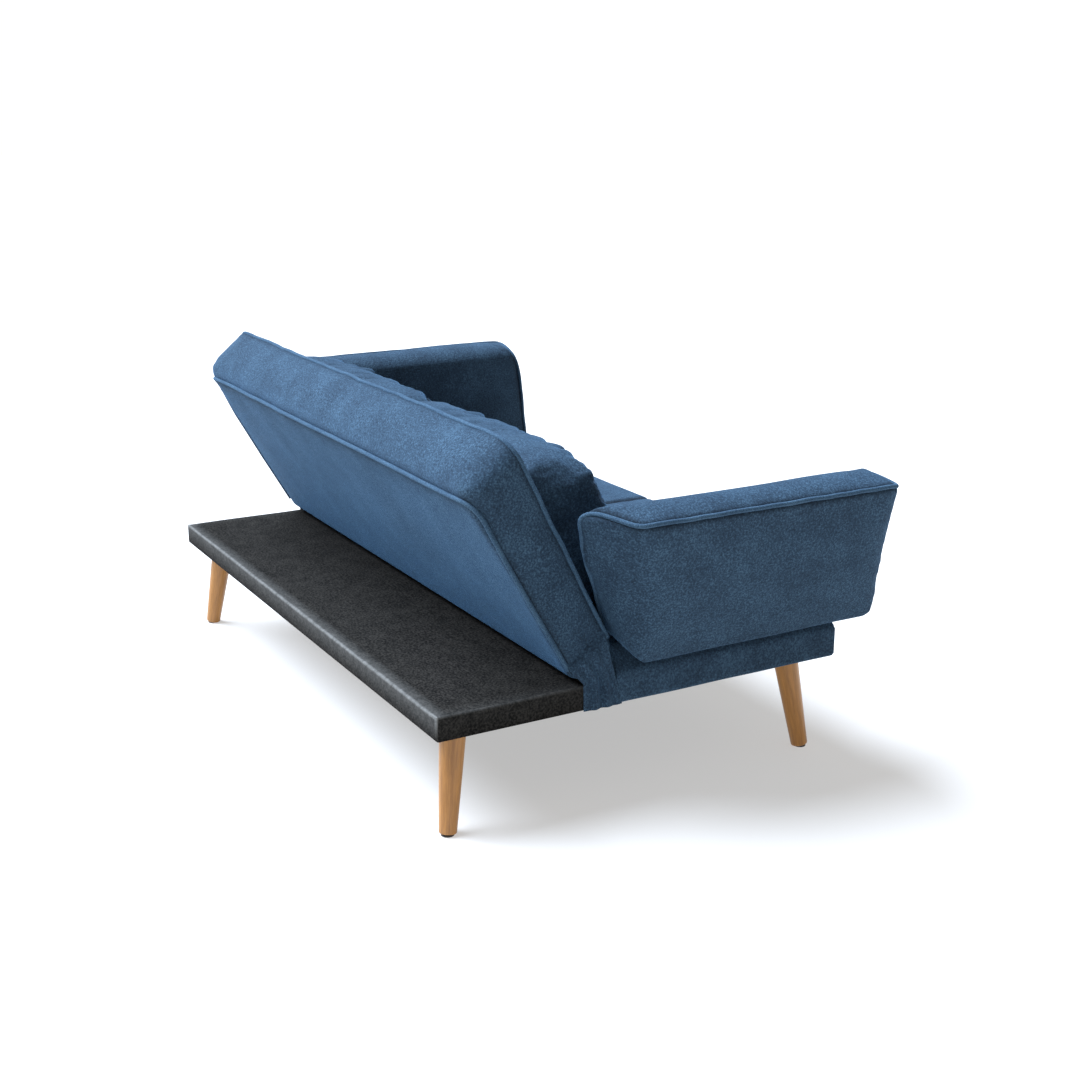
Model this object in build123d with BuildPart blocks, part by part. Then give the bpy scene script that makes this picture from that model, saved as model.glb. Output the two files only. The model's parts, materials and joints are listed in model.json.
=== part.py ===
"""Click-clack sofa bed: a low timber base on four splayed legs, a fixed seat, a backrest that
folds flat, two arms that tilt outwards, and two loose back cushions.

Origin on the floor under the middle of the base, +X to the sitter's left, +Y to the rear, +Z up.
Millimetres.
"""
import os
from math import atan2, cos, radians, sin

from build123d import *

os.makedirs("parts", exist_ok=True)

# ---------------------------------------------------------------- driving dimensions
BASE_HALF_W = 800.0
BASE_REAR_Y = 532.0
BASE_FRONT_Y = -470.0
BASE_BOTTOM = 230.0
SHELF_TOP = 284.0
BAND_TOP = 301.0
FELT_FRONT_Y = 189.0
SKIN = 3.0

SIDE_RAIL_T = 50.0
REAR_RAIL_T = 25.0
FRONT_RAIL_T = 30.0
RAIL_BOTTOM = 235.0
RAIL_TOP = 299.0
RAIL_STEP_Y = 104.0
SHELF_T = 10.0
DUST_T = 1.5

LEG_FOOT_X = 755.0
LEG_FOOT_Y = {"front": -425.0, "rear": 488.0}
LEG_SPLAY = 32.0
LEG_FOOT_R = 19.0
LEG_TOP_R = 30.0
GLIDE_R = 14.0
GLIDE_T = 3.0
PLATE_T = 3.0
PLATE_SIZE = 90.0

SEAT_HALF_W = 728.0
SEAT_FRONT_Y = -508.0
SEAT_REAR_Y = 112.0
SEAT_BOTTOM = 309.5
SEAT_TOP = 422.0
SLAT_COUNT = 12
SLAT_W = 60.0
SLAT_T = 10.0

BACK_PIVOT_Y = 172.0
BACK_PIVOT_Z = 353.0
BACK_RECLINE = 29.8
BACK_HALF_W = 785.0
BACK_REAR_N = 64.0
BACK_HEEL_FRONT_R = 52.0
BACK_HEEL_CUT = 48.0
BACK_REAR_TOP = (440.0, -62.0)
BACK_BULGE = (470.0, -56.0)
BACK_CROWN = (481.0, -24.0)
BACK_FRONT_TOP = (499.0, 79.0)
BACK_CORNER_R = 80.0
BACK_FRAME_N = (-58.5, -32.0)
BACK_RAIL_W = 40.0
WEBBING_T = 2.0

ARM_PIVOT_X = 737.0
ARM_PIVOT_Z = 361.0
ARM_T = 117.0
ARM_H = 348.0
ARM_TILT = {"left": 0.0, "right": 18.0}
ARM_BOTTOM_Y = (-534.0, 98.0)
ARM_TOP_Y = (-490.0, 172.0)
ARM_CORNER_R = 24.0
ARM_INNER_R = 26.0
ARM_BOARD_T = 18.0
ARM_HINGE_Y = (-310.0, -60.0)

CUSHION_INNER_X = 2.0
CUSHION_OUTER_X = 720.0
CUSHION_CORNER_R = 34.0
CUSHION_SKIN = 2.0

PIPING_R = 4.0
ARM_PIPING_R = (25.0, 14.0, 14.0, 25.0)
BACK_FRONT_PIPING_R = 80.0
BACK_REAR_PIPING_R = 45.0
PIPING_START_U = 10.0
PIN_R = 4.0
BACK_PIN_R = 6.0
RUNNING_CLEARANCE = 0.05
ORIGIN = (0, 0, 0)
SIDES = {"left": 1, "right": -1}


def save(piece, name):
    """Label a finished piece and write its STEP file."""
    piece.part.label = name
    export_step(piece.part, f"parts/{name}.step")


def add_box(x, y, z, mode=Mode.ADD):
    """A box between two limits on each axis, in the open part."""
    middle = ((x[0] + x[1]) / 2, (y[0] + y[1]) / 2, (z[0] + z[1]) / 2)
    with Locations(middle):
        Box(abs(x[1] - x[0]), abs(y[1] - y[0]), abs(z[1] - z[0]), mode=mode)


def piping(points, radius):
    """A covered cord along a seam: a tube through points, with its corners turned on arcs."""
    with BuildPart() as cord:
        with BuildLine() as seam:
            FilletPolyline(*points, radius=radius)
        with BuildSketch(Plane(origin=points[0], z_dir=Vector(points[1]) - Vector(points[0]))):
            Circle(PIPING_R)
        sweep()
    return cord


# ---------------------------------------------------------------- base frame
rail_outer_x = BASE_HALF_W - SKIN
rail_inner_x = rail_outer_x - SIDE_RAIL_T
rail_rear_y = BASE_REAR_Y - SKIN
rail_front_y = BASE_FRONT_Y + SKIN
rear_inner_y = rail_rear_y - REAR_RAIL_T
front_inner_y = rail_front_y + FRONT_RAIL_T
rail_span = (-rail_outer_x, rail_outer_x)
shelf_board_top = SHELF_TOP - SKIN
shelf_board_bottom = shelf_board_top - SHELF_T

with BuildPart() as side_rails:
    for side in SIDES.values():
        with BuildSketch(Plane.YZ.offset(side * rail_inner_x)):
            Polygon(
                (front_inner_y, RAIL_BOTTOM),
                (rear_inner_y, RAIL_BOTTOM),
                (rear_inner_y, shelf_board_bottom),
                (RAIL_STEP_Y, shelf_board_bottom),
                (RAIL_STEP_Y, RAIL_TOP),
                (front_inner_y, RAIL_TOP),
                align=None,
            )
        extrude(amount=side * SIDE_RAIL_T)
save(side_rails, "side_rails")

with BuildPart() as front_rail:
    add_box(rail_span, (rail_front_y, front_inner_y), (RAIL_BOTTOM, RAIL_TOP))
save(front_rail, "front_rail")

with BuildPart() as rear_rail:
    add_box(rail_span, (rear_inner_y, rail_rear_y), (RAIL_BOTTOM, shelf_board_bottom))
save(rear_rail, "rear_rail")

SEAT_REAR_RAIL_Y = (70.0, 100.0)
with BuildPart() as seat_rear_rail:
    add_box((-rail_inner_x, rail_inner_x), SEAT_REAR_RAIL_Y, (RAIL_BOTTOM, RAIL_TOP))
save(seat_rear_rail, "seat_rear_rail")

SHELF_RAIL_Y = (192.0, 232.0)
with BuildPart() as shelf_rail:
    add_box((-rail_inner_x, rail_inner_x), SHELF_RAIL_Y, (RAIL_BOTTOM, shelf_board_bottom))
save(shelf_rail, "shelf_rail")

CENTRE_RAIL_X = 20.0
with BuildPart() as centre_rails:
    for start, end, top in (
        (front_inner_y, SEAT_REAR_RAIL_Y[0], RAIL_TOP),
        (SEAT_REAR_RAIL_Y[1], SHELF_RAIL_Y[0], shelf_board_bottom),
        (SHELF_RAIL_Y[1], rear_inner_y, shelf_board_bottom),
    ):
        add_box((-CENTRE_RAIL_X, CENTRE_RAIL_X), (start, end), (RAIL_BOTTOM, top))
save(centre_rails, "centre_rails")

with BuildPart() as shelf_board:
    add_box(rail_span, (RAIL_STEP_Y, rail_rear_y), (shelf_board_bottom, shelf_board_top))
save(shelf_board, "shelf_board")

# ---------------------------------------------------------------- legs and what holds them
leg_names = [(end, name) for end in LEG_FOOT_Y for name in SIDES]


def leg_axis(end, name):
    """Foot centre on the floor and the point where the leg's axis meets the base's underside."""
    side = SIDES[name]
    lean = LEG_SPLAY if end == "front" else -LEG_SPLAY
    foot = Vector(side * LEG_FOOT_X, LEG_FOOT_Y[end], 0)
    top = Vector(side * (LEG_FOOT_X - LEG_SPLAY), LEG_FOOT_Y[end] + lean, BASE_BOTTOM)
    return foot, top


def leg_plane(end, name, height):
    """A plane square to the leg's axis, where the axis reaches a height."""
    foot, top = leg_axis(end, name)
    return Plane(origin=foot + (top - foot) * (height / BASE_BOTTOM), z_dir=top - foot)


BOLT_R = 4.0
BOLT_IN_LEG = 45.0
BOLT_IN_BLOCK = 30.0
PLATE_HOLE_R = 6.0
PLATE_CORNER_R = 8.0
SCREW_PITCH = 66.0
SCREW_R = 2.0
SCREW_HOLE_R = 2.2
SCREW_HEAD_R = 4.0
SCREW_HEAD_T = 1.6
SCREW_LENGTH = 25.0
BLOCK_SIZE = 90.0
BLOCK_INSET = 22.0
LEG_OVERRUN = 20.0
plate_bottom = RAIL_BOTTOM - PLATE_T

for end, name in leg_names:
    foot, top = leg_axis(end, name)
    length = (top - foot).length
    with BuildPart() as leg:
        with BuildSketch(leg_plane(end, name, 0).offset(-LEG_OVERRUN)):
            Circle(LEG_FOOT_R - LEG_OVERRUN * (LEG_TOP_R - LEG_FOOT_R) / length)
        with BuildSketch(leg_plane(end, name, BASE_BOTTOM).offset(LEG_OVERRUN)):
            Circle(LEG_TOP_R + LEG_OVERRUN * (LEG_TOP_R - LEG_FOOT_R) / length)
        loft()
        split(bisect_by=Plane.XY.offset(GLIDE_T), keep=Keep.TOP)
        split(bisect_by=Plane.XY.offset(plate_bottom), keep=Keep.BOTTOM)
        with BuildSketch(leg_plane(end, name, plate_bottom).offset(-BOLT_IN_LEG)):
            Circle(BOLT_R)
        extrude(amount=2 * BOLT_IN_LEG, mode=Mode.SUBTRACT)
    save(leg, f"leg_{end}_{name}")

with BuildPart() as hanger_bolts:
    for end, name in leg_names:
        with BuildSketch(leg_plane(end, name, plate_bottom).offset(-BOLT_IN_LEG)):
            Circle(BOLT_R)
        extrude(amount=BOLT_IN_LEG + BOLT_IN_BLOCK)
save(hanger_bolts, "hanger_bolts")

block_centres = [leg_axis(end, name)[1] for end, name in leg_names]

with BuildPart() as leg_plates:
    with BuildSketch(Plane.XY.offset(plate_bottom)):
        for centre in block_centres:
            with Locations((centre.X, centre.Y)):
                RectangleRounded(PLATE_SIZE, PLATE_SIZE, PLATE_CORNER_R)
                Circle(PLATE_HOLE_R, mode=Mode.SUBTRACT)
                with GridLocations(SCREW_PITCH, SCREW_PITCH, 2, 2):
                    Circle(SCREW_HOLE_R, mode=Mode.SUBTRACT)
    extrude(amount=PLATE_T)
save(leg_plates, "leg_plates")

with BuildPart() as plate_screws:
    for level, radius, reach in (
        (plate_bottom - SCREW_HEAD_T, SCREW_HEAD_R, SCREW_HEAD_T),
        (plate_bottom, SCREW_R, SCREW_LENGTH),
    ):
        with BuildSketch(Plane.XY.offset(level)):
            for centre in block_centres:
                with Locations((centre.X, centre.Y)):
                    with GridLocations(SCREW_PITCH, SCREW_PITCH, 2, 2):
                        Circle(radius)
        extrude(amount=reach)
save(plate_screws, "plate_screws")

with BuildPart() as corner_blocks:
    for centre in block_centres:
        outward = 1 if centre.X > 0 else -1
        with BuildSketch(Plane.XY.offset(RAIL_BOTTOM)):
            with Locations((centre.X - outward * BLOCK_INSET, centre.Y)):
                Rectangle(BLOCK_SIZE, BLOCK_SIZE)
        extrude(amount=shelf_board_bottom - RAIL_BOTTOM)
    add(side_rails.part, mode=Mode.SUBTRACT)
    add(rear_rail.part, mode=Mode.SUBTRACT)
    add(front_rail.part, mode=Mode.SUBTRACT)
    add(hanger_bolts.part, mode=Mode.SUBTRACT)
    add(plate_screws.part, mode=Mode.SUBTRACT)
save(corner_blocks, "corner_blocks")

with BuildPart() as floor_glides:
    for end, name in leg_names:
        foot = leg_axis(end, name)[0]
        with BuildSketch(Plane.XY):
            with Locations((foot.X, foot.Y)):
                Circle(GLIDE_R)
        extrude(amount=GLIDE_T)
save(floor_glides, "floor_glides")

# ---------------------------------------------------------------- base coverings
SHELF_CORNER_R = 6.0
SHELF_EDGE_R = 2.5
BAND_CORNER_R = 8.0
OVERCUT = 1.0
with BuildPart() as shelf_felt:
    with BuildSketch(Plane.XY.offset(BASE_BOTTOM)):
        with Locations((0, (FELT_FRONT_Y + BASE_REAR_Y) / 2)):
            Rectangle(2 * BASE_HALF_W, BASE_REAR_Y - FELT_FRONT_Y)
    extrude(amount=SHELF_TOP - BASE_BOTTOM)
    fillet(shelf_felt.faces().sort_by(Axis.Y)[-1].edges().filter_by(Axis.Z), SHELF_CORNER_R)
    fillet(shelf_felt.faces().sort_by(Axis.Y)[-1].edges().group_by(Axis.Z)[-1], SHELF_EDGE_R)
    inside = (BASE_BOTTOM - OVERCUT, shelf_board_top)
    add_box(rail_span, (FELT_FRONT_Y - OVERCUT, rail_rear_y), inside, Mode.SUBTRACT)
save(shelf_felt, "shelf_felt")

BAND_REAR_Y = 112.0
with BuildPart() as seat_band:
    with BuildSketch(Plane.XY.offset(BASE_BOTTOM)) as band_outline:
        with Locations((0, (BASE_FRONT_Y + BAND_REAR_Y) / 2)):
            Rectangle(2 * BASE_HALF_W, BAND_REAR_Y - BASE_FRONT_Y)
        fillet(band_outline.vertices().group_by(Axis.Y)[0], BAND_CORNER_R)
    extrude(amount=BAND_TOP - BASE_BOTTOM)
    inside = (BASE_BOTTOM - OVERCUT, BAND_TOP + OVERCUT)
    add_box(rail_span, (rail_front_y, BAND_REAR_Y + OVERCUT), inside, Mode.SUBTRACT)
save(seat_band, "seat_band")

FLAP_TOP = 352.0
FLAP_LEAN = 30.0
for name, side in SIDES.items():
    with BuildPart() as hinge_flap:
        with BuildSketch(Plane.YZ.offset(side * (BASE_HALF_W - SKIN))):
            Polygon(
                (BAND_REAR_Y, BASE_BOTTOM),
                (FELT_FRONT_Y, BASE_BOTTOM),
                (FELT_FRONT_Y, SHELF_TOP),
                (FELT_FRONT_Y + FLAP_LEAN, FLAP_TOP),
                (BAND_REAR_Y, FLAP_TOP),
                align=None,
            )
        extrude(amount=side * SKIN)
    save(hinge_flap, f"hinge_flap_{name}")

with BuildPart() as dust_cover:
    with BuildSketch(Plane.XY.offset(BASE_BOTTOM)):
        with Locations((0, (BASE_FRONT_Y + BASE_REAR_Y) / 2)):
            Rectangle(2 * rail_outer_x, BASE_REAR_Y - BASE_FRONT_Y - 2 * SKIN)
        for centre in block_centres:
            with Locations((centre.X, centre.Y)):
                Rectangle(PLATE_SIZE, PLATE_SIZE, mode=Mode.SUBTRACT)
    extrude(amount=DUST_T)
save(dust_cover, "dust_cover")

# The wedge beside the seat that an arm's underside comes down on.
SHOULDER_TOP_Z = 348.5
SHOULDER_REAR_Y = 98.0
for name, side in SIDES.items():
    with BuildPart() as shoulder:
        with BuildSketch(Plane.XZ.offset(-SHOULDER_REAR_Y)):
            Polygon(
                (side * rail_inner_x, RAIL_TOP),
                (side * rail_outer_x, RAIL_TOP),
                (side * rail_outer_x, BAND_TOP),
                (side * rail_inner_x, SHOULDER_TOP_Z),
                align=None,
            )
        extrude(amount=SHOULDER_REAR_Y - rail_front_y)
    save(shoulder, f"side_shoulder_{name}")

# ---------------------------------------------------------------- seat
SEAT_FRONT_R = 32.0
SLAT_FRONT_GAP = 4.0
SLAT_SIDE_MARGIN = 60.0
slat_start = rail_front_y + SLAT_FRONT_GAP
slat_pitch = 2 * (SEAT_HALF_W - SLAT_SIDE_MARGIN) / (SLAT_COUNT - 1)
with BuildPart() as seat_slats:
    with BuildSketch(Plane.XY.offset(RAIL_TOP)):
        with Locations((0, (slat_start + SEAT_REAR_RAIL_Y[1]) / 2)):
            with GridLocations(slat_pitch, 1, SLAT_COUNT, 1):
                Rectangle(SLAT_W, SEAT_REAR_RAIL_Y[1] - slat_start)
    extrude(amount=SLAT_T)
save(seat_slats, "seat_slats")


def seat_block(inset):
    """The seat pad's outer form, or with an inset the foam that fills it."""
    with BuildPart() as block:
        with BuildSketch(Plane.YZ.offset(-SEAT_HALF_W + inset)) as outline:
            with Locations(((SEAT_FRONT_Y + SEAT_REAR_Y) / 2, (SEAT_BOTTOM + SEAT_TOP) / 2)):
                Rectangle(SEAT_REAR_Y - SEAT_FRONT_Y, SEAT_TOP - SEAT_BOTTOM)
            fillet(outline.vertices().group_by(Axis.X)[0], SEAT_FRONT_R)
            if inset:
                offset(amount=-inset, mode=Mode.REPLACE)
        extrude(amount=2 * (SEAT_HALF_W - inset))
    return block


seat_foam = seat_block(SKIN)
save(seat_foam, "seat_foam")

seat_cover = seat_block(0)
with seat_cover:
    add(seat_foam.part, mode=Mode.SUBTRACT)
save(seat_cover, "seat_cover")

# ---------------------------------------------------------------- backrest
recline = radians(BACK_RECLINE)
back_up = Vector(0, sin(recline), cos(recline))
back_front = Vector(0, -cos(recline), sin(recline))
back_pivot = Vector(0, BACK_PIVOT_Y, BACK_PIVOT_Z)


def back_side_plane(x):
    """Square to X, with its own x up the backrest and its own y out of the backrest's front."""
    return Plane(origin=back_pivot + Vector(x, 0, 0), x_dir=back_up, z_dir=(1, 0, 0))


def back_face_plane(n):
    """Parallel to the backrest's face, with its own x along X and its own y up the backrest."""
    return Plane(origin=back_pivot + back_front * n, x_dir=(1, 0, 0), z_dir=back_front)


def back_block(inset):
    """The backrest's padded form: a heel that is round about the hinge, and a crowned top."""
    front, rear, cut = BACK_HEEL_FRONT_R, BACK_REAR_N, BACK_HEEL_CUT
    front_turn = atan2(cut, front) / 2
    rear_turn = atan2(cut, rear) / 2
    front_low = (-cut, (front**2 - cut**2) ** 0.5)
    rear_low = (-cut, -((rear**2 - cut**2) ** 0.5))
    with BuildPart() as block:
        with BuildSketch(back_side_plane(-BACK_HALF_W + inset)):
            with BuildLine():
                Polyline((0, -rear), BACK_REAR_TOP, BACK_BULGE, BACK_CROWN, BACK_FRONT_TOP, (0, front))
                ThreePointArc((0, front), (-front * sin(front_turn), front * cos(front_turn)), front_low)
                Line(front_low, rear_low)
                ThreePointArc(rear_low, (-rear * sin(rear_turn), -rear * cos(rear_turn)), (0, -rear))
            make_face()
            if inset:
                offset(amount=-inset, mode=Mode.REPLACE)
        extrude(amount=2 * (BACK_HALF_W - inset))
        top = BACK_FRONT_TOP[0]
        with BuildSketch(back_face_plane(-2 * rear)) as outline:
            with Locations((0, (top - 2 * rear) / 2)):
                Rectangle(2 * (BACK_HALF_W - inset), top + 2 * rear)
            fillet(outline.vertices().group_by(Axis.Y)[-1], BACK_CORNER_R)
        extrude(amount=5 * rear, mode=Mode.INTERSECT)
    return block


def add_back_box(x, u, n, mode=Mode.ADD):
    """A box laid square to the backrest: limits along X, up the backrest and out of its front."""
    middle = Location(((x[0] + x[1]) / 2, (u[0] + u[1]) / 2, (n[0] + n[1]) / 2))
    with Locations(back_face_plane(0).location * middle):
        Box(x[1] - x[0], u[1] - u[0], n[1] - n[0], mode=mode)


BACK_STILE_X = 730.0
BACK_RAIL_U = ((2.0, 42.0), (398.0, 438.0))
END_BLOCK_U = (50.0, 150.0)
with BuildPart() as back_rails:
    for span in BACK_RAIL_U:
        add_back_box((-BACK_STILE_X, BACK_STILE_X), span, BACK_FRAME_N)
save(back_rails, "back_rails")

with BuildPart() as back_stiles:
    for x in (-BACK_STILE_X, -CENTRE_RAIL_X, BACK_STILE_X - BACK_RAIL_W):
        add_back_box((x, x + BACK_RAIL_W), (BACK_RAIL_U[0][1], BACK_RAIL_U[1][0]), BACK_FRAME_N)
save(back_stiles, "back_stiles")

with BuildPart() as back_end_blocks:
    for side in SIDES.values():
        limits = sorted((side * BACK_STILE_X, side * (BACK_HALF_W - SKIN)))
        add_back_box(limits, END_BLOCK_U, BACK_FRAME_N)
save(back_end_blocks, "back_end_blocks")

WEBBING_U = (60.0, 140.0, 220.0, 300.0, 370.0)
WEBBING_HALF_W = 25.0
webbing_n = (BACK_FRAME_N[1], BACK_FRAME_N[1] + WEBBING_T)
with BuildPart() as back_webbing:
    for u in WEBBING_U:
        add_back_box((-BACK_STILE_X, BACK_STILE_X), (u - WEBBING_HALF_W, u + WEBBING_HALF_W), webbing_n)
save(back_webbing, "back_webbing")

FRAME_ROOM_U = (-80.0, 445.0)
FRAME_ROOM_N = -80.0
back_foam = back_block(SKIN)
back_cover = back_block(0)
with back_cover:
    add(back_foam.part, mode=Mode.SUBTRACT)
save(back_cover, "back_cover")

with back_foam:
    add_back_box((-BACK_HALF_W, BACK_HALF_W), FRAME_ROOM_U, (FRAME_ROOM_N, webbing_n[1]), Mode.SUBTRACT)
save(back_foam, "back_foam")


def back_seam(u_top, n_top, n_low, radius):
    """Piping up one side of the backrest, across its top and down the other side."""
    plane = back_face_plane(0)
    corners = [(-BACK_HALF_W, PIPING_START_U, n_low), (-BACK_HALF_W, u_top, n_top)]
    corners += [(-x, u, n) for x, u, n in reversed(corners)]
    return piping([plane.from_local_coords(Vector(*corner)) for corner in corners], radius)


front_seam = back_seam(*BACK_FRONT_TOP, BACK_HEEL_FRONT_R, BACK_FRONT_PIPING_R)
rear_seam = back_seam(*BACK_REAR_TOP, -BACK_REAR_N, BACK_REAR_PIPING_R)
with BuildPart() as back_piping:
    add(front_seam.part)
    add(rear_seam.part)
save(back_piping, "back_piping")

# ---------------------------------------------------------------- backrest hinges
HINGE_T = 4.0
HINGE_BOSS_R = 20.0
HINGE_MOVING_X = (787.0, 791.0)
HINGE_FIXED_X = (792.0, 796.0)
HINGE_FOOT_Y = (124.0, 187.0)
HINGE_FOOT_X = 752.0
HINGE_STRAP_U = 130.0
HINGE_BOLT_U = (70.0, 110.0)
TOOTH_R = 2.0
TOOTH_COUNT = 9
TOOTH_START = -20.0
TOOTH_RANGE = 150.0
HINGE_NECK = 15.0
HINGE_STRAP_W = 30.0
PAWL_OUTLINE = ((20.8, -3.0), (46.0, -9.0), (52.0, 0.0), (46.0, 9.0), (20.8, 3.0))
PAWL_PIN_U = 42.0
BOLT_HEAD_R = 8.0
BOLT_HEAD_T = 3.0
PIN_IN_BACK = 1.0
FOOT_SCREW_R = 2.6
FOOT_SCREW_PITCH = 40.0
SCREW_IN_BOARD = 8.0
foot_screw_x = HINGE_FOOT_X + 18.0
foot_screw_y = sum(HINGE_FOOT_Y) / 2

for name, side in SIDES.items():
    with BuildPart() as fixed_plate:
        with BuildSketch(Plane.YZ.offset(side * HINGE_FIXED_X[0])):
            Polygon(
                (HINGE_FOOT_Y[0], shelf_board_top),
                (HINGE_FOOT_Y[1], shelf_board_top),
                (BACK_PIVOT_Y + HINGE_NECK, BACK_PIVOT_Z),
                (BACK_PIVOT_Y - HINGE_NECK, BACK_PIVOT_Z),
                align=None,
            )
            with Locations((BACK_PIVOT_Y, BACK_PIVOT_Z)):
                Circle(HINGE_BOSS_R)
                Circle(BACK_PIN_R, mode=Mode.SUBTRACT)
                with PolarLocations(HINGE_BOSS_R, TOOTH_COUNT, TOOTH_START, TOOTH_RANGE, endpoint=True):
                    Circle(TOOTH_R, mode=Mode.SUBTRACT)
        extrude(amount=side * HINGE_T)
        foot_x = sorted((side * HINGE_FOOT_X, side * HINGE_FIXED_X[0]))
        add_box(foot_x, HINGE_FOOT_Y, (shelf_board_top, shelf_board_top + HINGE_T))
        with BuildSketch(Plane.XY.offset(shelf_board_top)):
            with Locations((side * foot_screw_x, foot_screw_y)):
                with GridLocations(1, FOOT_SCREW_PITCH, 1, 2):
                    Circle(FOOT_SCREW_R)
        extrude(amount=HINGE_T, mode=Mode.SUBTRACT)
    save(fixed_plate, f"back_hinge_fixed_{name}")

    with BuildPart() as moving_plate:
        with BuildSketch(back_side_plane(side * HINGE_MOVING_X[0])):
            with Locations((HINGE_STRAP_U / 2, 0)):
                Rectangle(HINGE_STRAP_U, HINGE_STRAP_W)
            Circle(HINGE_BOSS_R)
            Circle(BACK_PIN_R + RUNNING_CLEARANCE, mode=Mode.SUBTRACT)
            with Locations(*[(u, 0) for u in HINGE_BOLT_U]):
                Circle(BOLT_R, mode=Mode.SUBTRACT)
        extrude(amount=side * HINGE_T)
    save(moving_plate, f"back_hinge_moving_{name}")

    with BuildPart() as pawl:
        with BuildSketch(back_side_plane(side * HINGE_FIXED_X[0])):
            with BuildLine():
                Polyline(*PAWL_OUTLINE, close=True)
            make_face()
        extrude(amount=side * HINGE_T)
        with BuildSketch(back_side_plane(side * HINGE_MOVING_X[1])):
            with Locations((PAWL_PIN_U, 0)):
                Circle(PIN_R)
        extrude(amount=side * (HINGE_FIXED_X[0] - HINGE_MOVING_X[1]))
    save(pawl, f"back_hinge_pawl_{name}")

with BuildPart() as back_hinge_pins:
    for side in SIDES.values():
        with BuildSketch(Plane.YZ.offset(side * (HINGE_MOVING_X[0] - PIN_IN_BACK))):
            with Locations((BACK_PIVOT_Y, BACK_PIVOT_Z)):
                Circle(BACK_PIN_R)
        extrude(amount=side * (HINGE_FIXED_X[1] - HINGE_MOVING_X[0] + PIN_IN_BACK))
save(back_hinge_pins, "back_hinge_pins")

with BuildPart() as back_hinge_bolts:
    for side in SIDES.values():
        for u in HINGE_BOLT_U:
            with BuildSketch(back_side_plane(side * HINGE_MOVING_X[0])):
                with Locations((u, 0)):
                    Circle(BOLT_R)
            extrude(amount=side * HINGE_T)
            with BuildSketch(back_side_plane(side * HINGE_MOVING_X[1])):
                with Locations((u, 0)):
                    Circle(BOLT_HEAD_R)
            extrude(amount=side * BOLT_HEAD_T)
save(back_hinge_bolts, "back_hinge_bolts")

with BuildPart() as hinge_foot_screws:
    with BuildSketch(Plane.XY.offset(shelf_board_top - SCREW_IN_BOARD)):
        with Locations((0, foot_screw_y)):
            with GridLocations(2 * foot_screw_x, FOOT_SCREW_PITCH, 2, 2):
                Circle(FOOT_SCREW_R)
    extrude(amount=SCREW_IN_BOARD + HINGE_T)
save(hinge_foot_screws, "hinge_foot_screws")


# ---------------------------------------------------------------- arms
def arm_plane(name, outward):
    """Parallel to an arm's outer panel: its own x along the arm, its own y up the arm."""
    side, tilt = SIDES[name], radians(ARM_TILT[name])
    out = Vector(side * cos(tilt), 0, -sin(tilt))
    hinge_line = Vector(side * ARM_PIVOT_X, 0, ARM_PIVOT_Z)
    return Plane(origin=hinge_line + out * outward, x_dir=(0, side, 0), z_dir=out)


def arm_section_plane(name, y):
    """Square to the arm's hinge line: its own x outwards from the seat, its own y up the arm."""
    side, tilt = SIDES[name], radians(ARM_TILT[name])
    out = Vector(side * cos(tilt), 0, -sin(tilt))
    hinge_line = Vector(side * ARM_PIVOT_X, y, ARM_PIVOT_Z)
    return Plane(origin=hinge_line, x_dir=out, z_dir=(0, -side, 0))


def arm_corners(name, inset):
    """The arm's four corners in its own plane; it leans back as it rises."""
    side = SIDES[name]
    corners = [
        (ARM_BOTTOM_Y[0] + inset, inset),
        (ARM_BOTTOM_Y[1] - inset, inset),
        (ARM_TOP_Y[1] - inset, ARM_H - inset),
        (ARM_TOP_Y[0] + inset, ARM_H - inset),
    ]
    return [(side * y, z) for y, z in corners]


def arm_block(name, inset):
    """The arm's padded form, or with an inset the space inside its cover."""
    with BuildPart() as block:
        with BuildSketch(arm_plane(name, inset)) as outline:
            Polygon(*arm_corners(name, inset), align=None)
            fillet(outline.vertices().group_by(Axis.Y)[0], ARM_CORNER_R - inset)
        extrude(amount=ARM_T - 2 * inset)
        inner_face = block.faces().sort_by(Axis(ORIGIN, arm_plane(name, 0).z_dir))[0]
        fillet(inner_face.edges().sort_by(Axis.Z)[-1], ARM_INNER_R - inset)
    return block


def arm_point(name, outward, end, height):
    """A point on one end of an arm: how far out from the seat, and what part of the way up."""
    which = 0 if end == "front" else 1
    y = ARM_BOTTOM_Y[which] + (ARM_TOP_Y[which] - ARM_BOTTOM_Y[which]) * height
    return arm_plane(name, outward).from_local_coords(Vector(SIDES[name] * y, ARM_H * height, 0))


LEAF_T = 4.0
LEAF_GAP = 0.5
LEAF_SPARE = 1.0
LEAF_BOSS_R = 8.0
LEAF_OUTLINE = ((-4.0, 4.0), (4.0, -4.0), (50.0, 42.0), (50.0, 112.0), (40.0, 112.0))
NOTCH_R = 10.0
LEAF_BOARD_X = 50.0
BOARD_MARGIN = 32.0
BOARD_CORNER_R = 10.0
BRACKET_W = 12.0
BRACKET_BOTTOM = RAIL_BOTTOM + 10.0
FLANGE_T = 4.0
FLANGE_W = 30.0


def arm_leaf(name, y, spare):
    """The moving hinge leaf: an eye on the hinge line and a blade that runs up to the arm's board."""
    side = SIDES[name]
    with BuildPart() as leaf:
        with BuildSketch(arm_section_plane(name, y + side * (LEAF_T / 2 + spare))):
            with BuildLine():
                Polyline(*LEAF_OUTLINE, close=True)
            make_face()
            Circle(LEAF_BOSS_R)
            if spare:
                offset(amount=spare, mode=Mode.REPLACE)
            else:
                Circle(PIN_R + RUNNING_CLEARANCE, mode=Mode.SUBTRACT)
        extrude(amount=LEAF_T + 2 * spare)
    return leaf


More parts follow.
